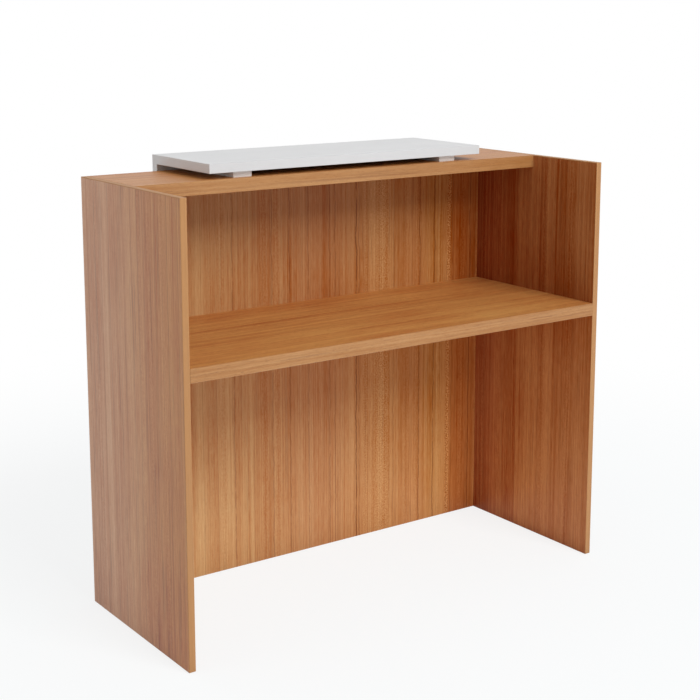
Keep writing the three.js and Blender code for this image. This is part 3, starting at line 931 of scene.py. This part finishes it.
def carve(piece: Piece, tool: Piece, operation: str = "DIFFERENCE") -> None:
    """Cut a tool's closed shape out of a piece, or join it on, and clear the tool away."""
    modify(piece, "BOOLEAN", object=tool, operation=operation, solver="EXACT")
    bpy.data.objects.remove(tool)


def block(low: Vector, high: Vector) -> Piece:
    """Saw a block to size, from its lowest corner to its highest one."""
    return start_from(
        bpy.ops.mesh.primitive_cube_add, size=1.0, location=(low + high) / 2, scale=high - low
    )


def turn_round(rings: list[Span], sides: int) -> Piece:
    """Turn a round piece about the Z axis by drawing a disc up from ring to ring.

    Args:
        rings: Pairs of radius and height, from the lowest up.
        sides: How many sides stand for the round.

    Returns:
        The closed piece.
    """
    radius, height = rings[0]
    piece = start_from(
        bpy.ops.mesh.primitive_circle_add,
        vertices=sides, radius=radius, fill_type="NGON", location=(0.0, 0.0, height),
    )
    with editing(piece):
        for next_radius, next_height in rings[1:]:
            rise = {"value": (0.0, 0.0, next_height - height)}
            growth = next_radius / radius
            bpy.ops.mesh.extrude_region_move(TRANSFORM_OT_translate=rise)
            bpy.ops.transform.resize(value=(growth, growth, 1.0), center_override=(0.0, 0.0, next_height))
            radius, height = next_radius, next_height
        face_outwards()
    return piece


def smooth(piece: Piece, sharp_angle: float = 35.0) -> None:
    """Smooth the shading over rounded faces and keep the flat ones flat.

    Args:
        piece: The piece.
        sharp_angle: Angle in degrees past which an edge stays sharp.
    """
    select_only(piece)
    bpy.ops.object.shade_smooth_by_angle(angle=math.radians(sharp_angle))
    modify(piece, "WEIGHTED_NORMAL", keep_sharp=True)


def settle(piece: Piece, node: str, finish: Finish, slot: Slot) -> None:
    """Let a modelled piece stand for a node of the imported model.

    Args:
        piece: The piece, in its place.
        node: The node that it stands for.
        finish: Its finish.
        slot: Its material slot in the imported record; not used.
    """
    piece.name = f"{node}_fine"
    piece.data.name = piece.name
    piece.data.materials.clear()
    piece.data.materials.append(finish.material())
    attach(piece, BODY)
    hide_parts(node)
    LOG.info("%s is modelled, finished in %s", piece.name, finish.name)


def copy_onto(master: Piece, node: str, turn: Place, finish: Finish, slot: Slot) -> None:
    """Set a turned copy of a modelled fitting onto the middle of a node.

    Args:
        master: The fitting, standing on the origin.
        node: The node that the copy stands for.
        turn: The copy's turn about X, Y and Z.
        finish: Its finish.
        slot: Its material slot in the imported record.
    """
    select_only(master)
    bpy.ops.object.duplicate(linked=False)
    copy = bpy.context.object
    copy.rotation_euler = turn
    bpy.ops.object.transform_apply(location=False, rotation=True, scale=False)
    corners = [Vector(corner) for corner in copy.bound_box]
    low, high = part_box(node)
    copy.location = (low + high) / 2 - (corners[LOWEST] + corners[HIGHEST]) / 2
    bpy.ops.object.transform_apply(location=True, rotation=False, scale=False)
    settle(copy, node, finish, slot)


@dataclass(frozen=True)
class SawCut:
    """A straight cut that takes away what lies past a plane."""

    point: Place
    past: Place

    def saw(self) -> None:
        """Cut the piece in edit mode, and close it."""
        bpy.ops.mesh.select_all(action="SELECT")
        bpy.ops.mesh.bisect(plane_co=self.point, plane_no=self.past, use_fill=True, clear_outer=True)


@dataclass(frozen=True)
class EdgeBand:
    """A strip glued to a board's edge, its two outer arrises rounded over."""

    node: str
    outward: Heading
    finish: Finish
    slot: Slot
    arris: float
    open_ends: bool = False
    cuts: tuple[SawCut, ...] = ()
    arris_steps: int = 5
    glue_line: float = 0.0002
    near: float = 0.00001

    def build(self) -> None:
        """Saw the strip, round it over and put it on its board."""
        low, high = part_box(self.node)
        piece = block(low, high)
        size = high - low
        run = max(range(3), key=lambda axis: size[axis])
        outward = self.outward.vector()
        glued, face = sorted((outward.dot(low), outward.dot(high)))
        with editing(piece):
            for cut in self.cuts:
                cut.saw()
            pick_edges(piece, lambda one, two: self.on(face, one, two) and self.rounded(run, one, two))
            round_over(self.arris, self.arris_steps)
            pick_edges(piece, lambda one, two: self.on(glued, one, two) and self.runs(run, one, two))
            round_over(self.glue_line)
            face_outwards()
        smooth(piece)
        settle(piece, self.node, self.finish, self.slot)

    def on(self, level: float, one: Vector, two: Vector) -> bool:
        """Tell whether both ends of an edge lie on a face across the outward heading."""
        outward = self.outward.vector()
        return all(abs(outward.dot(end) - level) < self.near for end in (one, two))

    def runs(self, axis: int, one: Vector, two: Vector) -> bool:
        """Tell whether an edge lies along an axis."""
        return abs(abs((two - one)[axis]) - (two - one).length) < self.near

    def rounded(self, run: int, one: Vector, two: Vector) -> bool:
        """Tell whether an outer edge is rounded: a long one, or a square short one at an open end."""
        square = any(self.runs(axis, one, two) for axis in range(3))
        return self.runs(run, one, two) or (self.open_ends and square)


@dataclass(frozen=True)
class WoodCarcass:
    """End panels, front panel, worktop and shelf, with their edge bands."""

    arris: float = 0.0015

    def build(self) -> None:
        """Dress the boards and make their bands."""
        for side in SIDES:
            dress(f"{side}_end_panel", END_PANEL_WOODS[side])
        dress("front_panel", FRONT_PANEL_WOOD)
        dress("worktop", WORKTOP_WOOD)
        dress("counter_shelf", SHELF_WOOD)
        for band in self.bands():
            band.build()

    def bands(self) -> Iterator[EdgeBand]:
        """List the edge bands.

        Returns:
            The bands of the end panels, the worktop and the shelf.
        """
        strip = {"slot": Slot.WOOD_EDGE, "arris": self.arris}
        for side in SIDES:
            panel = f"{side}_end_panel"
            for row, heading in ROWS.items():
                yield EdgeBand(f"{panel}_{row}_band", heading, UPRIGHT_EDGE_WOOD, open_ends=True, **strip)
            yield EdgeBand(f"{panel}_top_band", Heading.UP, TOP_EDGE_WOOD, **strip)
        yield EdgeBand("worktop_front_band", Heading.CLERK, LEVEL_EDGE_WOOD, **strip)
        for row, heading in ROWS.items():
            yield EdgeBand(f"counter_shelf_{row}_band", heading, SHELF_EDGE_WOOD, **strip)


@dataclass(frozen=True)
class WhiteCounter:
    """Raised counter board and fascia on their rails and battens, with the mitre between them."""

    arris: float = 0.0012
    glue_gap: float = 0.0003
    mitre_ease: float = 0.001

    def build(self) -> None:
        """Dress the boards and make their bands."""
        for board in ("raised_counter_board", "fascia_board"):
            dress(board, WHITE_MELAMINE)
        for side in SIDES:
            # Rails and battens take the lighter copy of the white melamine: painted light against the
            # shade under the board
            dress(f"{side}_counter_rail", RAIL_MELAMINE_PAINTED_LIGHT)
            dress(f"{side}_fascia_batten", RAIL_MELAMINE_PAINTED_LIGHT)
        for band in self.bands():
            band.build()

    def bands(self) -> Iterator[EdgeBand]:
        """List the edge bands.

        Returns:
            The bands of the counter board and of the fascia, cut to the mitre where they meet.
        """
        strip = {"slot": Slot.WHITE_EDGE, "arris": self.arris}
        board_low, board_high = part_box("raised_counter_board")
        fascia_low, fascia_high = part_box("fascia_board")
        inner = fascia_low.y
        half_gap = self.glue_gap / 2
        ease = SawCut((0.0, fascia_high.y - self.mitre_ease, board_high.z), (0.0, 1.0, 1.0))
        over = SawCut((0.0, inner - half_gap, board_low.z), (0.0, 1.0, -1.0))
        under = SawCut((0.0, inner + half_gap, board_low.z), (0.0, -1.0, 1.0))
        for side, heading in SIDES.items():
            for board, mitre in (("raised_counter", over), ("fascia", under)):
                cut = {"open_ends": True, "cuts": (mitre, ease)}
                yield EdgeBand(f"{board}_{side}_band", heading, WHITE_MELAMINE, **cut, **strip)
        # Front and bottom bands take the darker copy of the board's white: painted shade against the
        # stronger light on the front edge
        yield EdgeBand("raised_counter_front_band", Heading.CLERK, WHITE_BAND_PAINTED_SHADE, **strip)
        yield EdgeBand("fascia_bottom_band", Heading.DOWN, WHITE_BAND_PAINTED_SHADE, **strip)


@dataclass(frozen=True)
class CrossRecess:
    """The tapered cross that a driver turns."""

    length: float = 0.006
    width: float = 0.0014
    depth: float = 0.002
    taper: float = 0.55

    def cut(self, piece: Piece, face_height: float = 0.0) -> None:
        """Cut the cross up into a piece from its lower face.

        Args:
            piece: The piece, about the Z axis.
            face_height: Where its lower face lies.
        """
        foot = Vector((0.0, 0.0, face_height))
        for long, wide in ((self.length, self.width), (self.width, self.length)):
            reach = Vector((long / 2, wide / 2, self.depth))
            tool = block(foot - reach, foot + reach)
            with editing(tool):
                pick_faces(tool, lambda normal: normal.z > LEVEL_NORMAL)
                shrink = (self.taper, self.taper, 1.0)
                bpy.ops.transform.resize(value=shrink, center_override=tuple(foot))
            carve(piece, tool)


@dataclass(frozen=True)
class ScrewThread:
    """A thread of triangular section that winds up a shank."""

    outer_radius: float
    depth: float
    pitch: float
    start: float
    turns: int
    steps: int = 20
    root: float = 0.0003
    section_sides: int = 3
    section_height: float = 1.5

    def wind(self, shank: Piece) -> None:
        """Wind the thread onto a shank about the Z axis.

        Args:
            shank: The shank.
        """
        size = (self.depth + self.root) / self.section_height
        thread = start_from(
            bpy.ops.mesh.primitive_circle_add,
            vertices=self.section_sides,
            radius=size,
            location=(self.outer_radius - size, 0.0, self.start),
            rotation=(-QUARTER_TURN, -QUARTER_TURN, 0.0),
        )
        winding = {"screw_offset": self.pitch, "iterations": self.turns}
        modify(thread, "SCREW", steps=self.steps, render_steps=self.steps, **winding)
        with editing(thread):
            bpy.ops.mesh.fill_holes(sides=self.section_sides)
            bpy.ops.mesh.normals_make_consistent(inside=False)
        carve(shank, thread, "UNION")


@dataclass(frozen=True)
class CamFittings:
    """Cam housings under the worktop and the shelf, and the bolts that they draw in."""

    radius: float = 0.0075
    height: float = 0.023
    bevel: float = 0.0007
    rim: float = 0.0013
    dish: float = 0.0004
    mouth_radius: float = 0.0042
    mouth_height: float = 0.018
    mouth_past_middle: float = 0.003
    bolt_root: float = -0.011
    bolt_shaft_radius: float = 0.0035
    bolt_neck_radius: float = 0.002
    bolt_head_radius: float = 0.0034
    bolt_neck_start: float = 0.027
    bolt_neck_end: float = 0.031
    bolt_end: float = 0.034
    bolt_chamfer: float = 0.001
    bolt_thread: ScrewThread = ScrewThread(0.003, 0.0008, 0.0022, -0.0098, 4)
    sides: int = 40

    def build(self) -> None:
        """Make the housings and the bolts, and set them in their bores."""
        housing = self.model_housing()
        bolt = self.model_bolt()
        for tier in TIERS:
            for side, heading in SIDES.items():
                facing = (0.0, 0.0, math.pi if heading is Heading.LEFT else 0.0)
                lying = (0.0, -heading.vector().x * QUARTER_TURN, 0.0)
                for row in ROWS:
                    copy_onto(housing, f"{tier}_cam_{side}_{row}", facing, ZINC_ALLOY, Slot.ZINC)
                    copy_onto(bolt, f"{tier}_cam_bolt_{side}_{row}", lying, STEEL_PLATED, Slot.STEEL)
        bpy.data.objects.remove(housing)
        bpy.data.objects.remove(bolt)

    def model_housing(self) -> Piece:
        """Model one housing, standing on its driven end with its mouth to the right.

        Returns:
            The housing.
        """
        inner = self.radius - self.bevel
        drum = turn_round(
            [
                (inner, 0.0),
                (self.radius, self.bevel),
                (self.radius, self.height - self.bevel),
                (inner, self.height),
            ],
            self.sides,
        )
        with editing(drum):
            pick_faces(drum, lambda normal: normal.z < -LEVEL_NORMAL)
            bpy.ops.mesh.inset(thickness=self.rim)
            bpy.ops.transform.translate(value=(0.0, 0.0, self.dish))
        outside = 2 * self.radius
        mouth = start_from(
            bpy.ops.mesh.primitive_cylinder_add,
            vertices=self.sides,
            radius=self.mouth_radius,
            depth=outside + self.mouth_past_middle,
            location=((outside - self.mouth_past_middle) / 2, 0.0, self.mouth_height),
            rotation=(0.0, QUARTER_TURN, 0.0),
        )
        carve(drum, mouth)
        CrossRecess().cut(drum, self.dish)
        smooth(drum)
        return drum

    def model_bolt(self) -> Piece:
        """Model one bolt, its thread down and its head up.

        Returns:
            The bolt.
        """
        core = self.bolt_thread.outer_radius - self.bolt_thread.depth
        bolt = turn_round(
            [
                (core - self.bolt_chamfer / 2, self.bolt_root),
                (core, self.bolt_root + self.bolt_chamfer),
                (core, -self.bolt_chamfer / 2),
                (self.bolt_shaft_radius, 0.0),
                (self.bolt_shaft_radius, self.bolt_neck_start - self.bolt_chamfer),
                (self.bolt_neck_radius, self.bolt_neck_start),
                (self.bolt_neck_radius, self.bolt_neck_end),
                (self.bolt_head_radius, self.bolt_neck_end + self.bolt_chamfer / 2),
                (self.bolt_head_radius, self.bolt_end - self.bolt_chamfer),
                (self.bolt_head_radius - self.bolt_chamfer, self.bolt_end),
            ],
            self.sides,
        )
        self.bolt_thread.wind(bolt)
        smooth(bolt)
        return bolt


@dataclass(frozen=True)
class CounterScrews:
    """Countersunk screws through the shelf and the front panel into the white boards."""

    head_radius: float = 0.0056
    head_rim: float = 0.0004
    head_chamfer: float = 0.0002
    head_length: float = 0.0034
    core_radius: float = 0.002
    thread_radius: float = 0.0028
    pitch: float = 0.0026
    tip_length: float = 0.005
    tip_radius: float = 0.0003
    plain_share: float = 0.4
    sides: int = 32

    def build(self) -> None:
        """Make the two lengths of screw and drive them in."""
        upright = self.model(self.length("counter_screw_left_front"))
        lying = self.model(self.length("fascia_screw_left_lower"))
        outwards = (-QUARTER_TURN, 0.0, 0.0)
        for side in SIDES:
            for row in ROWS:
                copy_onto(upright, f"counter_screw_{side}_{row}", UNTURNED, STEEL_PLATED, Slot.STEEL)
            for level in LEVELS:
                copy_onto(lying, f"fascia_screw_{side}_{level}", outwards, STEEL_PLATED, Slot.STEEL)
        bpy.data.objects.remove(upright)
        bpy.data.objects.remove(lying)

    def length(self, node: str) -> float:
        """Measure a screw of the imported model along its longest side."""
        low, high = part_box(node)
        return max(high - low)

    def model(self, length: float) -> Piece:
        """Model one screw, its head's face down on the origin.

        Args:
            length: Its whole length.

        Returns:
            The screw.
        """
        shoulder = length - self.tip_length
        plain_end = self.head_length + self.plain_share * (shoulder - self.head_length)
        screw = turn_round(
            [
                (self.head_radius - self.head_chamfer, 0.0),
                (self.head_radius, self.head_chamfer),
                (self.head_radius, self.head_rim),
                (self.core_radius, self.head_length),
                (self.core_radius, shoulder),
                (self.tip_radius, length),
            ],
            self.sides,
        )
        turns = int((shoulder - plain_end) / self.pitch)
        depth = self.thread_radius - self.core_radius
        ScrewThread(self.thread_radius, depth, self.pitch, plain_end, turns).wind(screw)
        CrossRecess().cut(screw)
        smooth(screw)
        return screw


@dataclass(frozen=True)
class GluedJoints:
    """Fluted dowels in the front panel and biscuits in the mitre."""

    dowel_radius: float = 0.004
    dowel_length: float = 0.032
    dowel_chamfer: float = 0.001
    dowel_sides: int = 48
    flute_step: int = 3
    flute_share: float = 0.93
    flute_angle: float = 12.0
    biscuit_length: float = 0.056
    biscuit_width: float = 0.023
    biscuit_thickness: float = 0.004
    biscuit_arris: float = 0.0004
    biscuit_arris_steps: int = 2
    blunt_tip: float = 0.001
    biscuit_sides: int = 160

    def build(self) -> None:
        """Make the dowels and the biscuits and glue them in."""
        dowel = self.model_dowel()
        biscuit = self.model_biscuit()
        across = (0.0, QUARTER_TURN, 0.0)
        along_mitre = (-QUARTER_TURN / 2, 0.0, 0.0)
        for side in SIDES:
            for level in LEVELS:
                copy_onto(dowel, f"front_panel_dowel_{side}_{level}", across, BEECH_WOOD, Slot.BEECH)
            copy_onto(biscuit, f"mitre_biscuit_{side}", along_mitre, BEECH_WOOD, Slot.BEECH)
        bpy.data.objects.remove(dowel)
        bpy.data.objects.remove(biscuit)

    def model_dowel(self) -> Piece:
        """Model one dowel, standing up, with flutes along it.

        Returns:
            The dowel.
        """
        narrow = self.dowel_radius - self.dowel_chamfer
        dowel = turn_round(
            [
                (narrow, 0.0),
                (self.dowel_radius, self.dowel_chamfer),
                (self.dowel_radius, self.dowel_length - self.dowel_chamfer),
                (narrow, self.dowel_length),
            ],
            self.dowel_sides,
        )
        with editing(dowel):
            pick_edges(dowel, self.is_flute)
            shrink = (self.flute_share, self.flute_share, 1.0)
            bpy.ops.transform.resize(value=shrink, center_override=(0.0, 0.0, 0.0))
        smooth(dowel, self.flute_angle)
        return dowel

    def is_flute(self, one: Vector, two: Vector) -> bool:
        """Tell whether a dowel's edge is the bottom of a flute.

        Args:
            one: The edge's first end.
            two: The edge's second end.

        Returns:
            True for every edge along the dowel that lies in a flute.
        """
        step = 2 * math.pi / self.dowel_sides
        place = round(math.atan2(one.y, one.x) / step)
        upright = abs(one.z - two.z) > self.dowel_length / 2
        return upright and place % self.flute_step == 0

    def model_biscuit(self) -> Piece:
        """Model one biscuit: the lens where two discs overlap.

        Returns:
            The biscuit, lying flat about the origin.
        """
        half = self.biscuit_length / 2
        bulge = self.biscuit_width / 2
        radius = (half * half + bulge * bulge) / (2 * bulge)
        biscuit, other = (
            start_from(
                bpy.ops.mesh.primitive_cylinder_add,
                vertices=self.biscuit_sides,
                radius=radius,
                depth=self.biscuit_thickness,
                location=(0.0, sign * (radius - bulge), 0.0),
            )
            for sign in (-1, 1)
        )
        carve(biscuit, other, "INTERSECT")
        with editing(biscuit):
            for sign in (-1.0, 1.0):
                SawCut((sign * (half - self.blunt_tip), 0.0, 0.0), (sign, 0.0, 0.0)).saw()
            pick_edges(biscuit, lambda one, two: abs(one.z - two.z) < self.biscuit_thickness / 2)
            round_over(self.biscuit_arris, self.biscuit_arris_steps)
        smooth(biscuit)
        return biscuit


@dataclass(frozen=True)
class FloorGlides:
    """Nylon pads on pins under the end panels."""

    height: float = 0.002
    length: float = 0.032
    width: float = 0.012
    end_round_share: float = 0.499
    end_round_steps: int = 10
    rim: float = 0.0006
    rim_steps: int = 3
    pin_radius: float = 0.0016
    pin_length: float = 0.014
    pin_tip_radius: float = 0.0004
    pin_sides: int = 24
    barb_step: float = 0.0032
    barb_depth: float = 0.0004
    barb_length: float = 0.0008

    def build(self) -> None:
        """Make the glides and press them in."""
        glide = self.model()
        for side in SIDES:
            for row in ROWS:
                copy_onto(glide, f"floor_glide_{side}_{row}", UNTURNED, BLACK_NYLON, Slot.NYLON)
        bpy.data.objects.remove(glide)

    def model(self) -> Piece:
        """Model one glide: a pad with round ends and a barbed pin.

        Returns:
            The glide, standing on the origin.
        """
        reach = Vector((self.width / 2, self.length / 2, 0.0))
        pad = block(-reach, reach + Vector((0.0, 0.0, self.height)))
        with editing(pad):
            pick_edges(pad, lambda one, two: abs(one.z - two.z) > self.height / 2)
            round_over(self.end_round_share * self.width, self.end_round_steps)
            pick_edges(pad, lambda one, two: max(one.z, two.z) < self.height / 4)
            round_over(self.rim, self.rim_steps)
        narrow = self.pin_radius - self.barb_depth
        rings = [(self.pin_radius, self.height / 2)]
        foot = self.height + self.barb_step
        top = self.height + self.pin_length
        while foot < top - self.barb_step:
            rings.append((self.pin_radius, foot))
            rings.append((narrow, foot + self.barb_length))
            foot += self.barb_step
        rings.append((narrow, top - self.pin_radius))
        rings.append((self.pin_tip_radius, top))
        carve(pad, turn_round(rings, self.pin_sides), "UNION")
        smooth(pad)
        return pad


@dataclass(frozen=True)
class SoftBox:
    """A flat studio lamp, whose glow is the brightness of its face where one is white."""

    name: str
    place: Place
    aim: Place
    width: float
    height: float
    glow: float

    def light(self) -> None:
        """Hang the lamp, out of sight of the camera and of glossy surfaces."""
        lamp = bpy.data.lights.new(self.name, "AREA")
        lamp.shape = "RECTANGLE"
        lamp.size = self.width
        lamp.size_y = self.height
        lamp.energy = self.glow * math.pi * self.width * self.height
        holder = bpy.data.objects.new(self.name, lamp)
        holder.location = self.place
        holder.rotation_euler = (Vector(self.aim) - Vector(self.place)).to_track_quat("-Z", "Y").to_euler()
        holder.visible_camera = False
        holder.visible_glossy = False
        bpy.context.scene.collection.objects.link(holder)


@dataclass(frozen=True)
class Studio:
    """Pale floor, white surround, soft lamps and the camera."""

    floor_side: float = 60.0
    floor_share: float = 0.19
    shadow_core: float = 0.9
    shadow_reach: float = 3.0
    shadow_colour: Colour = (0.88, 0.97, 1.0, 1.0)
    floor_colour: Colour = srgb(247, 247, 247)
    sky_level: float = 0.42
    camera_place: Place = (-2.2389, -3.1616, 1.5944)
    camera_pitch: float = 9.948
    camera_yaw: float = 35.367
    camera_lens: float = 73.25
    camera_sensor: float = 36.0
    camera_shift: float = -0.128
    lamps: tuple[SoftBox, ...] = (
        SoftBox("key_softbox", (1.0, -6.8, 6.3), (0.0, 0.0, 0.6), 4.2, 4.2, 9.3),
        SoftBox("left_softbox", (-6.0, 0.9, 2.6), (0.0, 0.0, 0.8), 3.0, 3.0, 0.9),
        SoftBox("right_softbox", (6.5, 1.5, 1.3), (0.0, 0.0, 0.6), 3.0, 3.0, 1.3),
        SoftBox("back_softbox", (-1.5, 7.0, 1.4), (0.0, 0.0, 0.6), 3.0, 3.0, 2.8),
        SoftBox("floor_bounce", (0.0, -0.52, 0.004), (0.0, -0.52, 1.0), 1.25, 1.3, 0.57),
    )

    def build(self) -> None:
        """Make the whole studio."""
        self.lay_floor()
        self.fill_surround()
        for lamp in self.lamps:
            lamp.light()
        self.set_camera()

    def seen(self, wiring: Wiring) -> Socket:
        """Tell rays from the camera, from a mirror and through glass, which meet white, from the rest."""
        path = wiring.add("ShaderNodeLightPath").outputs
        return wiring.largest(*(path[f"Is {way} Ray"] for way in ("Camera", "Glossy", "Transmission")))

    def lay_floor(self) -> None:
        """Lay a pale floor that keeps the desk's shadow."""
        floor = start_from(bpy.ops.mesh.primitive_plane_add, size=self.floor_side)
        floor.name = "studio_floor"
        paint = bpy.data.materials.new("studio_floor_paint")
        wiring = afresh(paint)
        plain = wiring.add("ShaderNodeBsdfDiffuse", {"Color": self.floor_colour}).outputs[0]
        white = wiring.add("ShaderNodeEmission", {"Strength": 1.0}).outputs[0]
        lit = wiring.add("ShaderNodeBsdfDiffuse", {"Color": self.shadow_colour}).outputs[0]
        place = wiring.add("ShaderNodeTexCoord").outputs["Object"]
        reach = wiring.add("ShaderNodeVectorMath", {0: place}, operation="LENGTH").outputs["Value"]
        near = wiring.product(wiring.step(reach, self.shadow_reach, self.shadow_core), self.floor_share)
        whole = wiring.mix(self.seen(wiring), plain, wiring.mix(near, white, lit))
        wiring.add("ShaderNodeOutputMaterial", {"Surface": whole})
        floor.data.materials.append(paint)

    def fill_surround(self) -> None:
        """Surround the desk with even light that looks white."""
        world = bpy.data.worlds.new("studio_surround")
        wiring = afresh(world)
        even, white = (
            wiring.add("ShaderNodeBackground", {"Color": WHITE, "Strength": strength}).outputs[0]
            for strength in (self.sky_level, 1.0)
        )
        wiring.add("ShaderNodeOutputWorld", {"Surface": wiring.mix(self.seen(wiring), even, white)})
        bpy.context.scene.world = world

    def set_camera(self) -> None:
        """Set the camera at the photograph's angle."""
        camera = bpy.data.cameras.new("photo_camera")
        camera.lens = self.camera_lens
        camera.sensor_width = self.camera_sensor
        camera.shift_y = self.camera_shift
        holder = bpy.data.objects.new("photo_camera", camera)
        holder.location = self.camera_place
        tilt = QUARTER_TURN - math.radians(self.camera_pitch)
        holder.rotation_euler = (tilt, 0.0, -math.radians(self.camera_yaw))
        bpy.context.scene.collection.objects.link(holder)
        bpy.context.scene.camera = holder
        bpy.context.scene.view_settings.view_transform = "Standard"


def main() -> None:
    """Build the desk's looks and the studio, in order."""
    logging.basicConfig(level=logging.INFO, format="%(message)s")
    WoodCarcass().build()
    WhiteCounter().build()
    CamFittings().build()
    CounterScrews().build()
    GluedJoints().build()
    FloorGlides().build()
    Studio().build()


if __name__ == "__main__":
    main()
